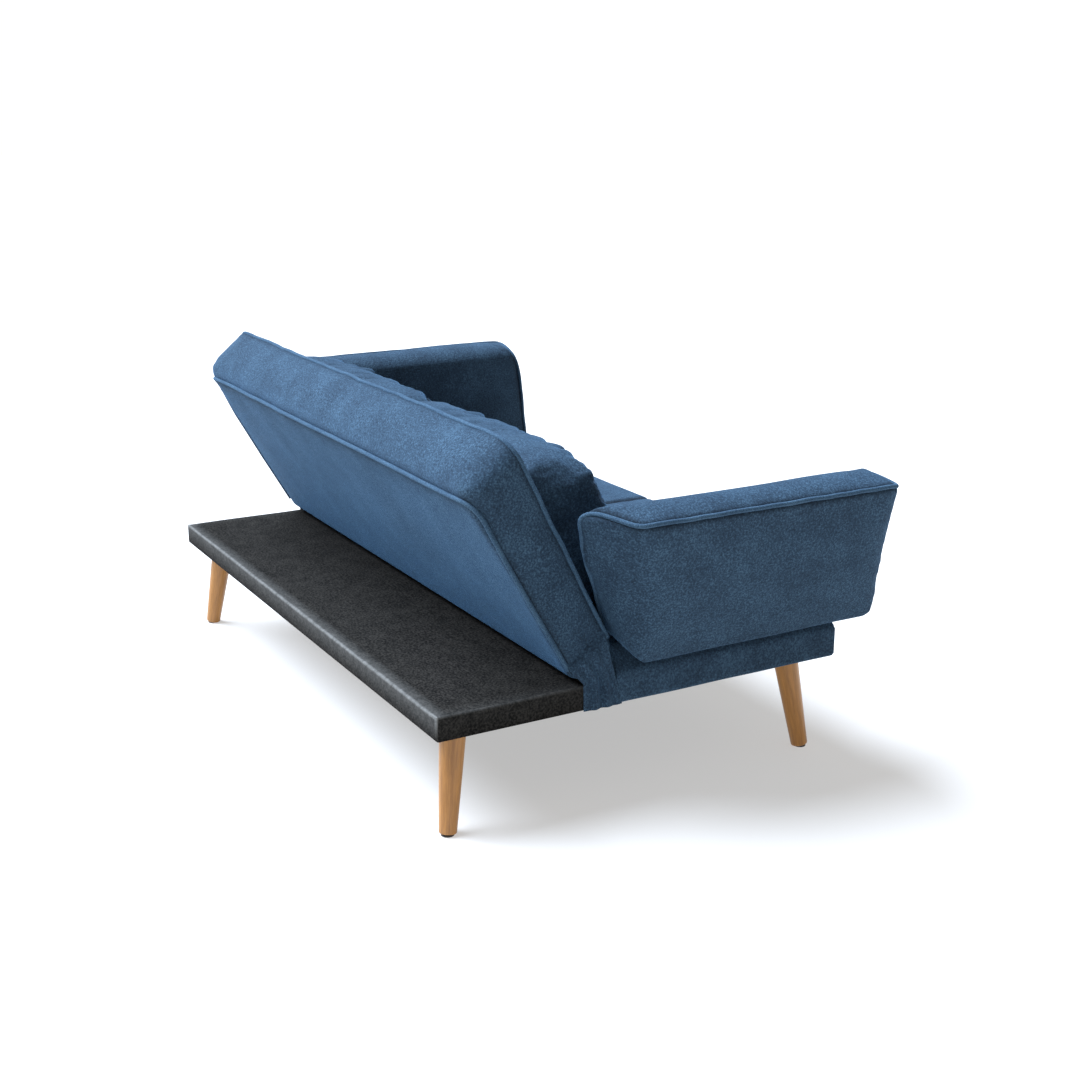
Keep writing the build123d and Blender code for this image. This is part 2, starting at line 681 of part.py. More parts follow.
leaf_offset = LEAF_T + LEAF_GAP
for name, side in SIDES.items():
    with BuildPart() as arm_board:
        with BuildSketch(arm_plane(name, LEAF_BOARD_X)) as board_outline:
            Polygon(*arm_corners(name, BOARD_MARGIN), align=None)
            fillet(board_outline.vertices(), BOARD_CORNER_R)
        extrude(amount=ARM_BOARD_T)
    save(arm_board, f"arm_board_{name}")

    leaves = [arm_leaf(name, y, 0) for y in ARM_HINGE_Y]
    slots = [arm_leaf(name, y, LEAF_SPARE) for y in ARM_HINGE_Y]
    with BuildPart() as arm_leaves:
        for leaf in leaves:
            add(leaf.part)
    save(arm_leaves, f"arm_hinge_leaves_{name}")

    with BuildPart() as hinge_room:
        for y in ARM_HINGE_Y:
            with BuildSketch(Plane.XZ.offset(-y + NOTCH_R)):
                with Locations((side * ARM_PIVOT_X, ARM_PIVOT_Z)):
                    Circle(NOTCH_R)
            extrude(amount=-2 * NOTCH_R)
        for slot in slots:
            add(slot.part)

    arm_foam = arm_block(name, SKIN)
    arm_cover = arm_block(name, 0)
    with arm_cover:
        add(arm_foam.part, mode=Mode.SUBTRACT)
        add(hinge_room.part, mode=Mode.SUBTRACT)
    save(arm_cover, f"arm_cover_{name}")

    with arm_foam:
        add(arm_board.part, mode=Mode.SUBTRACT)
        add(hinge_room.part, mode=Mode.SUBTRACT)
    save(arm_foam, f"arm_foam_{name}")

    with BuildPart() as arm_brackets:
        for y in ARM_HINGE_Y:
            start = y + leaf_offset + LEAF_T / 2
            with BuildSketch(Plane.XZ.offset(-(start - LEAF_T))):
                with Locations((side * ARM_PIVOT_X, ARM_PIVOT_Z)):
                    Circle(LEAF_BOSS_R)
                with Locations((side * ARM_PIVOT_X, (ARM_PIVOT_Z + BRACKET_BOTTOM) / 2)):
                    Rectangle(BRACKET_W, ARM_PIVOT_Z - BRACKET_BOTTOM)
                with Locations((side * ARM_PIVOT_X, ARM_PIVOT_Z)):
                    Circle(PIN_R, mode=Mode.SUBTRACT)
            extrude(amount=-LEAF_T)
            flange_x = sorted((side * (rail_inner_x - FLANGE_T), side * rail_inner_x))
            add_box(flange_x, (start - LEAF_T, start + FLANGE_W), (BRACKET_BOTTOM, RAIL_TOP - FLANGE_T))
    save(arm_brackets, f"arm_hinge_brackets_{name}")

    with BuildPart() as arm_pins:
        for y in ARM_HINGE_Y:
            with BuildSketch(Plane.XZ.offset(-(y - LEAF_T / 2 - 1))):
                with Locations((side * ARM_PIVOT_X, ARM_PIVOT_Z)):
                    Circle(PIN_R)
            extrude(amount=-(leaf_offset + LEAF_T + 1))
    save(arm_pins, f"arm_hinge_pins_{name}")

    rear_low, rear_high = arm_point(name, 0, "rear", 0.1), arm_point(name, 0, "rear", 1)
    front_low, front_high = arm_point(name, 0, "front", 0.1), arm_point(name, 0, "front", 1)
    outer_rear, outer_front = arm_point(name, ARM_T, "rear", 1), arm_point(name, ARM_T, "front", 1)
    piping_route = [rear_low, rear_high, outer_rear, outer_front, front_high, front_low]
    arm_piping = piping(piping_route, ARM_PIPING_R)
    save(arm_piping, f"arm_piping_{name}")

# ---------------------------------------------------------------- loose back cushions
CUSHION_CORNERS = [(144.0, 426.0), (-16.0, 426.0), (120.0, 738.0), (304.0, 756.0)]


def cushion_block(side, inset):
    """A cushion that stands on the seat and leans on the backrest."""
    inner, outer = CUSHION_INNER_X + inset, CUSHION_OUTER_X - inset
    with BuildPart() as block:
        with BuildSketch(Plane.YZ.offset(side * inner)) as outline:
            Polygon(*CUSHION_CORNERS, align=None)
            fillet(outline.vertices(), CUSHION_CORNER_R)
            if inset:
                offset(amount=-inset, mode=Mode.REPLACE)
        extrude(amount=side * (outer - inner))
    return block


for name, side in SIDES.items():
    cushion_fill = cushion_block(side, CUSHION_SKIN)
    save(cushion_fill, f"cushion_fill_{name}")

    cushion_cover = cushion_block(side, 0)
    with cushion_cover:
        add(cushion_fill.part, mode=Mode.SUBTRACT)
    save(cushion_cover, f"cushion_cover_{name}")
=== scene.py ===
"""Looks of the click-clack sofa bed: upholstery, piping, felt shelf, beech legs, studio."""
import json
import math

import bpy
import numpy as np
from mathutils import Matrix, Vector, noise


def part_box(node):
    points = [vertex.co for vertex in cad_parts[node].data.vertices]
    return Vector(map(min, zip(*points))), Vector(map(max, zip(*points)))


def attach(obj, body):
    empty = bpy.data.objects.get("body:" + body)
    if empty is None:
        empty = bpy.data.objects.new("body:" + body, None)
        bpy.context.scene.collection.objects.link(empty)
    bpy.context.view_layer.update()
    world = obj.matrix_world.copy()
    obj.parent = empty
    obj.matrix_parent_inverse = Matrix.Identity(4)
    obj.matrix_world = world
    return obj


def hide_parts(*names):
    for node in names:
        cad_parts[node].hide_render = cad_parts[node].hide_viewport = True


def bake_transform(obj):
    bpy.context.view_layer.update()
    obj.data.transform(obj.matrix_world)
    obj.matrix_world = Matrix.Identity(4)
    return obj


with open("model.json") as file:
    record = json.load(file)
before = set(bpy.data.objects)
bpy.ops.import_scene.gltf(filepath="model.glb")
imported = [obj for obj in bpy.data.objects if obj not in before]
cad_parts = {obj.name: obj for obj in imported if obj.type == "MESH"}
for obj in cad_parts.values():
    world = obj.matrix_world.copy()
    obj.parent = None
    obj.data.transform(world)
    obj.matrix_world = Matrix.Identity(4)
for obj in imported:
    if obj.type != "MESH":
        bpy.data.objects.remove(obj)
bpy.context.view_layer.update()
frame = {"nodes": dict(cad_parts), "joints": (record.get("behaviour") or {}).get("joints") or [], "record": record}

joints = {joint["name"]: joint for joint in frame["joints"]}
SIDES = {"left": 1, "right": -1}

# Places that the pieces share, in metres, read from the frame.
band_low, band_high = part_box("seat_band")
felt_low, felt_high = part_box("shelf_felt")
seat_low, seat_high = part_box("seat_cover")
back_pivot = Vector(joints["backrest_recline"]["pos_m"])
back_front = Vector(joints["cushion_left_lift"]["axis"])
back_recline = math.atan2(back_front.z, -back_front.y)
back_half_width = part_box("back_cover")[1][0]
back_place = Matrix.Translation(back_pivot) @ Matrix.Rotation(-back_recline, 4, "X")

PIPING_RADIUS = 0.0048
PIPING_PROUD = 0.0026
PIPING_STEP = 0.012
SEAM_GRIP = 0.011
SEAM_SHADE = 0.0125
CLOTH_SETTINGS = {
    "quality": 4,
    "mass": 0.25,
    "tension_stiffness": 18,
    "compression_stiffness": 18,
    "bending_stiffness": 0.3,
    "use_pressure": True,
}
CLOTH_STEPS = 20


# ---------------------------------------------------------------- modelling helpers
def activate(piece):
    """Leave only this piece selected, in object mode."""
    bpy.ops.object.select_all(action="DESELECT")
    bpy.context.view_layer.objects.active = piece
    piece.select_set(True)


def edit(piece, select="DESELECT"):
    """Open the piece in edit mode with everything or nothing selected."""
    activate(piece)
    bpy.ops.object.mode_set(mode="EDIT")
    bpy.ops.mesh.select_mode(type="EDGE")
    bpy.ops.mesh.select_all(action=select)


def close():
    """Leave edit mode."""
    bpy.ops.object.mode_set(mode="OBJECT")


def apply_modifier(piece, kind, **values):
    """Add one modifier, set its values and apply it."""
    activate(piece)
    modifier = piece.modifiers.new(kind.lower(), kind)
    for key, value in values.items():
        setattr(modifier, key, value)
    bpy.ops.object.modifier_apply(modifier=modifier.name)


def points_of(piece):
    """The piece's vertices as an array of points."""
    co = np.empty(len(piece.data.vertices) * 3)
    piece.data.vertices.foreach_get("co", co)
    return co.reshape(-1, 3)


def set_points(piece, points):
    """Put every vertex of the piece at its new point."""
    piece.data.vertices.foreach_set("co", points.ravel())
    piece.data.update()


def normals_of(piece):
    """The outward direction at each vertex."""
    normals = np.empty(len(piece.data.vertices) * 3)
    piece.data.vertices.foreach_get("normal", normals)
    return normals.reshape(-1, 3)


def moved(points, matrix):
    """An array of points carried by a matrix."""
    return points @ np.array(matrix.to_3x3()).T + np.array(matrix.translation)


def place(piece, matrix):
    """Bake a place into the mesh, so that the object stays at the origin."""
    piece.data.transform(matrix)
    piece.data.update()


def box_block(name, low, high):
    """A box between two corners, as a cube primitive with its size applied."""
    bpy.ops.object.select_all(action="DESELECT")
    low, high = Vector(low), Vector(high)
    bpy.ops.mesh.primitive_cube_add(size=1, location=(low + high) / 2, scale=high - low)
    piece = bpy.context.object
    piece.name = name
    piece.data.name = name
    bpy.ops.object.transform_apply(location=True, rotation=True, scale=True)
    return piece


def cut(piece, point, away):
    """Cut the block by a plane and drop what lies on its far side."""
    edit(piece, "SELECT")
    bpy.ops.mesh.bisect(plane_co=point, plane_no=away, use_fill=True, clear_outer=True)
    close()


def ring_cuts(piece, axis, stations):
    """Divide the piece square to one axis at each station, dropping nothing."""
    edit(piece)
    direction = Vector([float(i == axis) for i in range(3)])
    for station in stations:
        bpy.ops.mesh.select_all(action="SELECT")
        bpy.ops.mesh.bisect(plane_co=direction * station, plane_no=direction)
    close()


def profile_block(name, half_span, profile, middle=0.0):
    """A convex profile, given as y and z points anticlockwise seen from +X, carried along X."""
    lows = [min(p[i] for p in profile) for i in (0, 1)]
    highs = [max(p[i] for p in profile) for i in (0, 1)]
    piece = box_block(name, (middle - half_span, *lows), (middle + half_span, *highs))
    for start, end in zip(profile, profile[1:] + profile[:1]):
        run = Vector(end) - Vector(start)
        if abs(run.x) > 1e-5 and abs(run.y) > 1e-5:
            cut(piece, (middle, *start), (0, run.y, -run.x))
    return piece


def bevel_where(piece, chosen, width, segments):
    """Round the edges whose two ends satisfy a test."""
    edit(piece)
    close()
    vertices = piece.data.vertices
    for edge in piece.data.edges:
        a, b = (vertices[i].co for i in edge.vertices)
        edge.select = bool(chosen(a, b))
    bpy.ops.object.mode_set(mode="EDIT")
    bpy.ops.mesh.bevel(offset=width, segments=segments, profile=0.5, affect="EDGES")
    close()


def arc(centre, radius, start, end, steps):
    """Points on an arc, angles in degrees."""
    angles = [math.radians(start + (end - start) * i / steps) for i in range(steps + 1)]
    return [(centre[0] + radius * math.cos(a), centre[1] + radius * math.sin(a)) for a in angles]


def rounded_route(corners, radius, closed=False, steps=6):
    """A route through corners, each turned on an arc; radius is one value or one for each corner."""
    corners = [Vector(c) for c in corners]
    radii = radius if isinstance(radius, (list, tuple)) else [radius] * len(corners)
    count = len(corners)
    route = []
    for i, corner in enumerate(corners):
        if not closed and i in (0, count - 1):
            route.append(corner)
            continue
        back = (corners[i - 1] - corner).normalized()
        ahead = (corners[(i + 1) % count] - corner).normalized()
        half = back.angle(ahead) / 2
        if radii[i] == 0 or half > math.radians(89.9):
            route.append(corner)
            continue
        reach = radii[i] / math.tan(half)
        centre = corner + (back + ahead).normalized() * (radii[i] / math.sin(half))
        first, last = corner + back * reach - centre, corner + ahead * reach - centre
        for step in range(steps + 1):
            route.append(centre + first.slerp(last, step / steps).normalized() * radii[i])
    return route


def distance_to(points, route, closed=False):
    """Each point's distance to a route, and how far along the route its nearest place is."""
    best = np.full(len(points), np.inf)
    along = np.zeros(len(points))
    travelled = 0.0
    ends = list(route[1:]) + ([route[0]] if closed else [])
    for start, end in zip(route, ends):
        a, run = np.array(start), np.array(end) - np.array(start)
        length = float(np.linalg.norm(run))
        if length < 1e-9:
            continue
        t = np.clip((points - a) @ run / length**2, 0, 1)
        gap = np.linalg.norm(points - a - t[:, None] * run, axis=1)
        nearer = gap < best
        best[nearer] = gap[nearer]
        along[nearer] = travelled + t[nearer] * length
        travelled += length
    return best, along


# ---------------------------------------------------------------- soft goods helpers
def puff(piece, voxel, pressure, cap, seams, resting=None, shrink=0.0, shape=None):
    """Inflate a block by cloth simulation, with its seams held, and cap how far it may swell."""
    apply_modifier(piece, "REMESH", mode="VOXEL", voxel_size=voxel, use_smooth_shade=True)
    if shape is not None:
        set_points(piece, shape(points_of(piece)))
    before = points_of(piece)
    grip = np.zeros(len(before))
    for route, closed in seams:
        gap, _ = distance_to(before, route, closed)
        grip = np.maximum(grip, np.clip(1.6 - gap / SEAM_GRIP, 0, 1))
    if resting is not None:
        grip = np.maximum(grip, resting(before))
    held = piece.vertex_groups.new(name="held")
    for level in np.unique(np.round(grip, 1)):
        if level > 0:
            chosen = np.nonzero(np.round(grip, 1) == level)[0]
            held.add(chosen.tolist(), float(level), "REPLACE")
    cloth = piece.modifiers.new("cloth", "CLOTH")
    for key, value in CLOTH_SETTINGS.items():
        setattr(cloth.settings, key, value)
    cloth.settings.uniform_pressure_force = pressure
    cloth.settings.shrink_min = shrink
    cloth.settings.vertex_group_mass = "held"
    cloth.settings.effector_weights.gravity = 0
    cloth.collision_settings.use_collision = False
    cloth.point_cache.frame_start = 1
    cloth.point_cache.frame_end = CLOTH_STEPS
    for step in range(1, CLOTH_STEPS + 1):
        bpy.context.scene.frame_set(step)
    activate(piece)
    bpy.ops.object.modifier_apply(modifier="cloth")
    bpy.context.scene.frame_set(1)
    piece.vertex_groups.clear()
    swell = points_of(piece) - before
    length = np.linalg.norm(swell, axis=1, keepdims=True)
    swell *= np.minimum(1, cap / np.maximum(length, 1e-9))
    swell *= (1 - grip)[:, None]
    set_points(piece, before + swell)
    apply_modifier(piece, "SMOOTH", factor=0.5, iterations=1)
    apply_modifier(piece, "SUBSURF", levels=1, render_levels=1)


def sew(piece, seams, depth, reach, pucker=0.0, pitch=0.03, seed=0):
    """Draw the cloth in along its seams, with short puckers square to them, and store each point's nearness to a
    seam for the painted shade there.
    """
    points, normals = points_of(piece), normals_of(piece)
    inward = np.zeros(len(points))
    # The seam attribute holds nearness to the seams; the upholstery uses it to paint shade along them.
    seam = piece.data.attributes.get("seam") or piece.data.attributes.new("seam", "FLOAT", "POINT")
    shade = np.zeros(len(points), dtype=np.float32)
    seam.data.foreach_get("value", shade)
    for index, (route, closed) in enumerate(seams):
        gap, along = distance_to(points, route, closed)
        shade = np.maximum(shade, np.exp(-((gap / SEAM_SHADE) ** 2)).astype(np.float32))
        near = np.nonzero(gap < 5 * reach)[0]
        for i in near:
            fall = math.exp(-((gap[i] / reach) ** 2))
            pull = depth * fall
            if pucker:
                wave = noise.noise(Vector((along[i] / pitch, 7.3 * (seed + index), gap[i] / (9 * reach))))
                fold = math.exp(-gap[i] / (1.9 * reach)) * (1 - math.exp(-gap[i] / (0.25 * reach)))
                pull -= pucker * wave * 2.2 * fold
            inward[i] = pull if abs(pull) > abs(inward[i]) else inward[i]
    set_points(piece, points - normals * inward[:, None])
    piece.data.attributes["seam"].data.foreach_set("value", shade)


def crumple(piece, size, height, seed=0, where=None):
    """Long soft undulations of loose cloth, of about one size and height."""
    points, normals = points_of(piece), normals_of(piece)
    lift = np.array([noise.noise(Vector(p) / size + Vector((seed, 0, 0))) for p in points]) * height
    if where is not None:
        lift *= where(points)
    set_points(piece, points + normals * lift[:, None])


def lay_on(route, pad, lift, step=PIPING_STEP):
    """Divide a route finely and lay it on the pad's surface, a little proud of it."""
    fine = []
    for start, end in zip(route, route[1:]):
        count = max(1, round((end - start).length / step))
        fine += [start.lerp(end, i / count) for i in range(count)]
    fine.append(route[-1])
    laid = []
    for point in fine:
        _, near, normal, _ = pad.closest_point_on_mesh(point)
        laid.append(near + normal * lift)
    for _ in range(3):
        laid[1:-1] = [(a + 2 * b + c) / 4 for a, b, c in zip(laid, laid[1:], laid[2:])]
    return laid


def piping(name, route, closed, material, body, radius=PIPING_RADIUS):
    """A covered cord sewn into a seam."""
    curve = bpy.data.curves.new(name, "CURVE")
    curve.dimensions = "3D"
    spline = curve.splines.new("POLY")
    spline.points.add(len(route) - 1)
    for point, co in zip(spline.points, route):
        point.co = (*co, 1)
    spline.use_cyclic_u = closed
    curve.bevel_depth = radius
    curve.bevel_resolution = 3
    curve.use_fill_caps = not closed
    tube = bpy.data.objects.new(name, curve)
    bpy.context.scene.collection.objects.link(tube)
    activate(tube)
    bpy.ops.object.convert(target="MESH")
    tube.data.materials.clear()
    finish_piece(tube, material, body)


def finish_piece(piece, material, body, angle=50):
    """Shade, paint and hang a finished piece on its body; a blended piece has none of its own."""
    activate(piece)
    bpy.ops.object.shade_smooth_by_angle(angle=math.radians(angle))
    piece.data.materials.clear()
    piece.data.materials.append(material)
    if body:
        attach(piece, body)


# ---------------------------------------------------------------- materials
def new_group(name, inputs, outputs):
    """An empty shader node group with its sockets; returns the group and its two end nodes."""
    group = bpy.data.node_groups.new(name, "ShaderNodeTree")
    for label, kind, value in inputs:
        socket = group.interface.new_socket(name=label, in_out="INPUT", socket_type=kind)
        socket.default_value = value
    for label, kind in outputs:
        group.interface.new_socket(name=label, in_out="OUTPUT", socket_type=kind)
    return group, group.nodes.new("NodeGroupInput"), group.nodes.new("NodeGroupOutput")


def noise_node(nodes, links, vector, scale, detail=3.0, roughness=0.6):
    """A noise texture on a vector; its scale is a number or a socket."""
    texture = nodes.new("ShaderNodeTexNoise")
    texture.inputs["Detail"].default_value = detail
    texture.inputs["Roughness"].default_value = roughness
    links.new(vector, texture.inputs["Vector"])
    if isinstance(scale, (int, float)):
        texture.inputs["Scale"].default_value = scale
    else:
        links.new(scale, texture.inputs["Scale"])
    return texture.outputs["Fac"]


def math_node(nodes, links, operation, a, b):
    """One sum or product of two values, each a number or a socket."""
    node = nodes.new("ShaderNodeMath")
    node.operation = operation
    for socket, value in zip(node.inputs, (a, b)):
        if isinstance(value, (int, float)):
            socket.default_value = value
        else:
            links.new(value, socket)
    return node.outputs[0]


def weighted(nodes, links, first, second):
    """The sum of two values, each given with its weight."""
    parts = [math_node(nodes, links, "MULTIPLY", value, weight) for value, weight in (first, second)]
    return math_node(nodes, links, "ADD", *parts)


def ramp_node(nodes, links, factor, stops):
    """A colour ramp through (position, colour) stops."""
    ramp = nodes.new("ShaderNodeValToRGB")
    links.new(factor, ramp.inputs["Fac"])
    elements = ramp.color_ramp.elements
    while len(elements) < len(stops):
        elements.new(0.5)
    for element, (position, colour) in zip(elements, stops):
        element.position = position
        element.color = (*colour, 1)
    return ramp.outputs["Color"]


def build_pile_group():
    """Mottled pile: a heathered fleck, a slow shading drift, and the height of the pile."""
    group, start, end = new_group(
        "pile",
        [
            ("Vector", "NodeSocketVector", (0, 0, 0)),
            ("Fleck", "NodeSocketFloat", 240.0),
            ("Drift", "NodeSocketFloat", 14.0),
        ],
        [("Tone", "NodeSocketFloat"), ("Height", "NodeSocketFloat")],
    )
    nodes, links = group.nodes, group.links
    fleck = noise_node(nodes, links, start.outputs["Vector"], start.outputs["Fleck"], 4.0, 0.7)
    drift = noise_node(nodes, links, start.outputs["Vector"], start.outputs["Drift"], 3.0, 0.55)
    fine = noise_node(nodes, links, start.outputs["Vector"], 1100.0, 2.0, 0.6)
    tone = weighted(nodes, links, (fleck, 0.82), (drift, 0.18))
    height = weighted(nodes, links, (fine, 0.6), (fleck, 0.8))
    links.new(tone, end.inputs["Tone"])
    links.new(height, end.inputs["Height"])
    return group


def pile_node(nodes, links, vector, **values):
    """The pile group placed in a material, with its own values."""
    pile = nodes.new("ShaderNodeGroup")
    pile.node_tree = pile_group
    for label, value in values.items():
        pile.inputs[label].default_value = value
    links.new(vector, pile.inputs["Vector"])
    return pile.outputs["Tone"], pile.outputs["Height"]


def attribute_node(nodes, name):
    """The node that reads one of the piece's own attributes."""
    node = nodes.new("ShaderNodeAttribute")
    node.attribute_name = name
    return node


def mix_colour(nodes, links, amount, first, second):
    """A colour that goes from a socket's colour to a fixed one by an amount."""
    mix = nodes.new("ShaderNodeMix")
    mix.data_type = "RGBA"
    links.new(amount, mix.inputs["Factor"])
    links.new(first, mix.inputs["A"])
    mix.inputs["B"].default_value = (*second, 1)
    return mix.outputs["Result"]


def start_material(name):
    """A new material with its shader and its object coordinates."""
    material = bpy.data.materials.new(name)
    material.use_nodes = True
    nodes, links = material.node_tree.nodes, material.node_tree.links
    return material, nodes, links, nodes["Principled BSDF"], nodes.new("ShaderNodeTexCoord")


def set_finish(shader, finish):
    """Give the shader its plain values by name."""
    for label, value in finish.items():
        shader.inputs[label].default_value = value


def add_bump(nodes, links, shader, height, strength, distance):
    """Let a height turn the surface's normal."""
    bump = nodes.new("ShaderNodeBump")
    bump.inputs["Strength"].default_value = strength
    bump.inputs["Distance"].default_value = distance
    links.new(height, bump.inputs["Height"])
    links.new(bump.outputs["Normal"], shader.inputs["Normal"])


VELVET_STOPS = (0.36, 0.5, 0.66)
VELVET_FINISH = {
    "Roughness": 0.92,
    "Specular IOR Level": 0.2,
    "Sheen Roughness": 0.34,
    "Sheen Tint": (0.22, 0.52, 0.95, 1),
}
# Painted shade along the seams: how strongly it darkens, and how dark it is against the darkest tone.
SEAM_PAINTED_SHADE = 0.95
SEAM_SHADE_TONE = 0.22


def upholstery(name, tones, sheen, fleck=240.0):
    """Velvet-like cloth in three tones, with painted shade darkening it along its seams."""
    material, nodes, links, shader, where = start_material(name)
    tone, height = pile_node(nodes, links, where.outputs["Object"], Fleck=fleck)
    colour = ramp_node(nodes, links, tone, list(zip(VELVET_STOPS, tones)))
    # Painted shade: darken the cloth near its seams, where the creases beside the piping fall in shade.
    seam = attribute_node(nodes, "seam")
    amount = math_node(nodes, links, "MULTIPLY", seam.outputs["Fac"], SEAM_PAINTED_SHADE)
    seam_shaded = mix_colour(nodes, links, amount, colour, [c * SEAM_SHADE_TONE for c in tones[0]])
    links.new(seam_shaded, shader.inputs["Base Color"])
    set_finish(shader, {**VELVET_FINISH, "Sheen Weight": sheen})
    add_bump(nodes, links, shader, height, 0.55, 0.0012)
    return material


FELT_STOPS = (0.42, 0.6)
FELT_FINISH = {"Roughness": 1.0, "Specular IOR Level": 0.12}
# The pale colour along the shelf's rear edge: worn felt and a painted highlight.
WORN_AND_HIGHLIT_FELT = (0.3, 0.3, 0.29)


def felt(name, dark, light, wear_and_highlight=True):
    """Needle-punched black felt, paler along the shelf's rear top edge: worn there, and with a painted highlight
    where light catches the rounded edge.
    """
    material, nodes, links, shader, where = start_material(name)
    tone, height = pile_node(nodes, links, where.outputs["Object"], Fleck=190.0, Drift=30.0)
    colour = ramp_node(nodes, links, tone, list(zip(FELT_STOPS, (dark, light))))
    if wear_and_highlight:
        # Paler felt where the attribute is set: partly worn felt, partly a painted highlight.
        worn_and_highlit = attribute_node(nodes, "wear_and_highlight")
        patch = noise_node(nodes, links, where.outputs["Object"], 60.0, 4.0, 0.7)
        amount = math_node(nodes, links, "MULTIPLY", worn_and_highlit.outputs["Fac"], patch)
        colour = mix_colour(nodes, links, amount, colour, WORN_AND_HIGHLIT_FELT)
    links.new(colour, shader.inputs["Base Color"])
    set_finish(shader, FELT_FINISH)
    add_bump(nodes, links, shader, height, 0.7, 0.0014)
    return material


TIMBER_STOPS = (0.36, 0.62)
TIMBER_FINISH = {"Roughness": 0.42, "Coat Roughness": 0.3}
LEG_GRAIN = (26.0, 26.0, 1.6)
RAIL_GRAIN = (3.0, 22.0, 22.0)


def timber(name, dark, light, coat, stretch, attribute=None):
    """Timber with fine grain lines along one axis; legs carry their own grain space."""
    material, nodes, links, shader, where = start_material(name)
    vector = where.outputs["Object"]
    if attribute:
        vector = attribute_node(nodes, attribute).outputs["Vector"]
    mapping = nodes.new("ShaderNodeMapping")
    mapping.inputs["Scale"].default_value = stretch
    links.new(vector, mapping.inputs["Vector"])
    bands = noise_node(nodes, links, mapping.outputs["Vector"], 1.4, 5.0, 0.62)
    lines = noise_node(nodes, links, mapping.outputs["Vector"], 9.0, 4.0, 0.7)
    figure = weighted(nodes, links, (bands, 0.6), (lines, 0.4))
    colour = ramp_node(nodes, links, figure, list(zip(TIMBER_STOPS, (dark, light))))
    links.new(colour, shader.inputs["Base Color"])
    set_finish(shader, {**TIMBER_FINISH, "Coat Weight": coat})
    add_bump(nodes, links, shader, lines, 0.12, 0.0006)
    return material


def plain(name, colour, roughness, metallic=0.0, grain=300.0, depth=0.0003):
    """Metal, plastic or foam with a fine surface grain and slight colour drift."""
    material, nodes, links, shader, where = start_material(name)
    speckle = noise_node(nodes, links, where.outputs["Object"], grain, 4.0, 0.6)
    darker = tuple(c * 0.8 for c in colour)
    lighter = tuple(min(1.0, c * 1.15) for c in colour)
    drifting = ramp_node(nodes, links, speckle, [(0.35, darker), (0.65, lighter)])
    links.new(drifting, shader.inputs["Base Color"])
    set_finish(shader, {"Roughness": roughness, "Metallic": metallic})
    add_bump(nodes, links, shader, speckle, 0.3, depth)
    return material


pile_group = build_pile_group()
VELVET_TONES = (0.010, 0.021, 0.037), (0.022, 0.046, 0.077), (0.058, 0.114, 0.174)
# The piping's cloth is a lighter copy of the velvet: a painted highlight on the cords.
HIGHLIT_PIPING_TONES = (0.016, 0.036, 0.065), (0.035, 0.073, 0.121), (0.082, 0.150, 0.217)
blue_velvet = upholstery("blue_velvet", VELVET_TONES, 0.3)
highlit_blue_piping = upholstery("highlit_blue_piping", HIGHLIT_PIPING_TONES, 0.25, 420.0)
black_felt = felt("black_felt", (0.001, 0.001, 0.0009), (0.027, 0.0248, 0.022))
dust_cloth = felt("dust_cloth", (0.01, 0.01, 0.01), (0.03, 0.03, 0.03), wear_and_highlight=False)
beech = timber("lacquered_beech", (0.27, 0.108, 0.016), (0.54, 0.238, 0.045), 0.2, LEG_GRAIN, "leg_space")
pine = timber("bare_pine", (0.42, 0.27, 0.13), (0.62, 0.44, 0.25), 0.0, RAIL_GRAIN)
black_steel = plain("black_powder_coat", (0.02, 0.02, 0.022), 0.45, 0.0, 900.0)
zinc = plain("zinc_plate", (0.55, 0.56, 0.58), 0.35, 1.0, 500.0)
glide_plastic = plain("glide_plastic", (0.02, 0.02, 0.02), 0.5)
foam = plain("foam", (0.75, 0.7, 0.55), 0.95, 0.0, 400.0, 0.001)
webbing = plain("webbing", (0.03, 0.03, 0.03), 0.9, 0.0, 600.0, 0.0006)

slot_materials = {
    "blue_upholstery": blue_velvet,
    "black_felt": dust_cloth,
    "foam": foam,
    "webbing": webbing,
    "natural_beech": pine,
    "frame_timber": pine,
    "hinge_steel": black_steel,
    "zinc_fasteners": zinc,
    "black_glide": glide_plastic,
}
for subpart in frame["record"]["subparts"]:
    node = frame["nodes"][subpart["node"]]
    node.data.materials.clear()
    node.data.materials.append(slot_materials[subpart["material_slot"]])


# ---------------------------------------------------------------- legs
LEG_FOOT_RADIUS = 0.019
LEG_TOP_RADIUS = 0.030
LEG_CORNER_REACH = 1.01
LEG_OVERRUN = 0.02
LEG_RINGS = (0.06, 0.12, 0.18)
LEG_FOOT_EASE = 0.0035


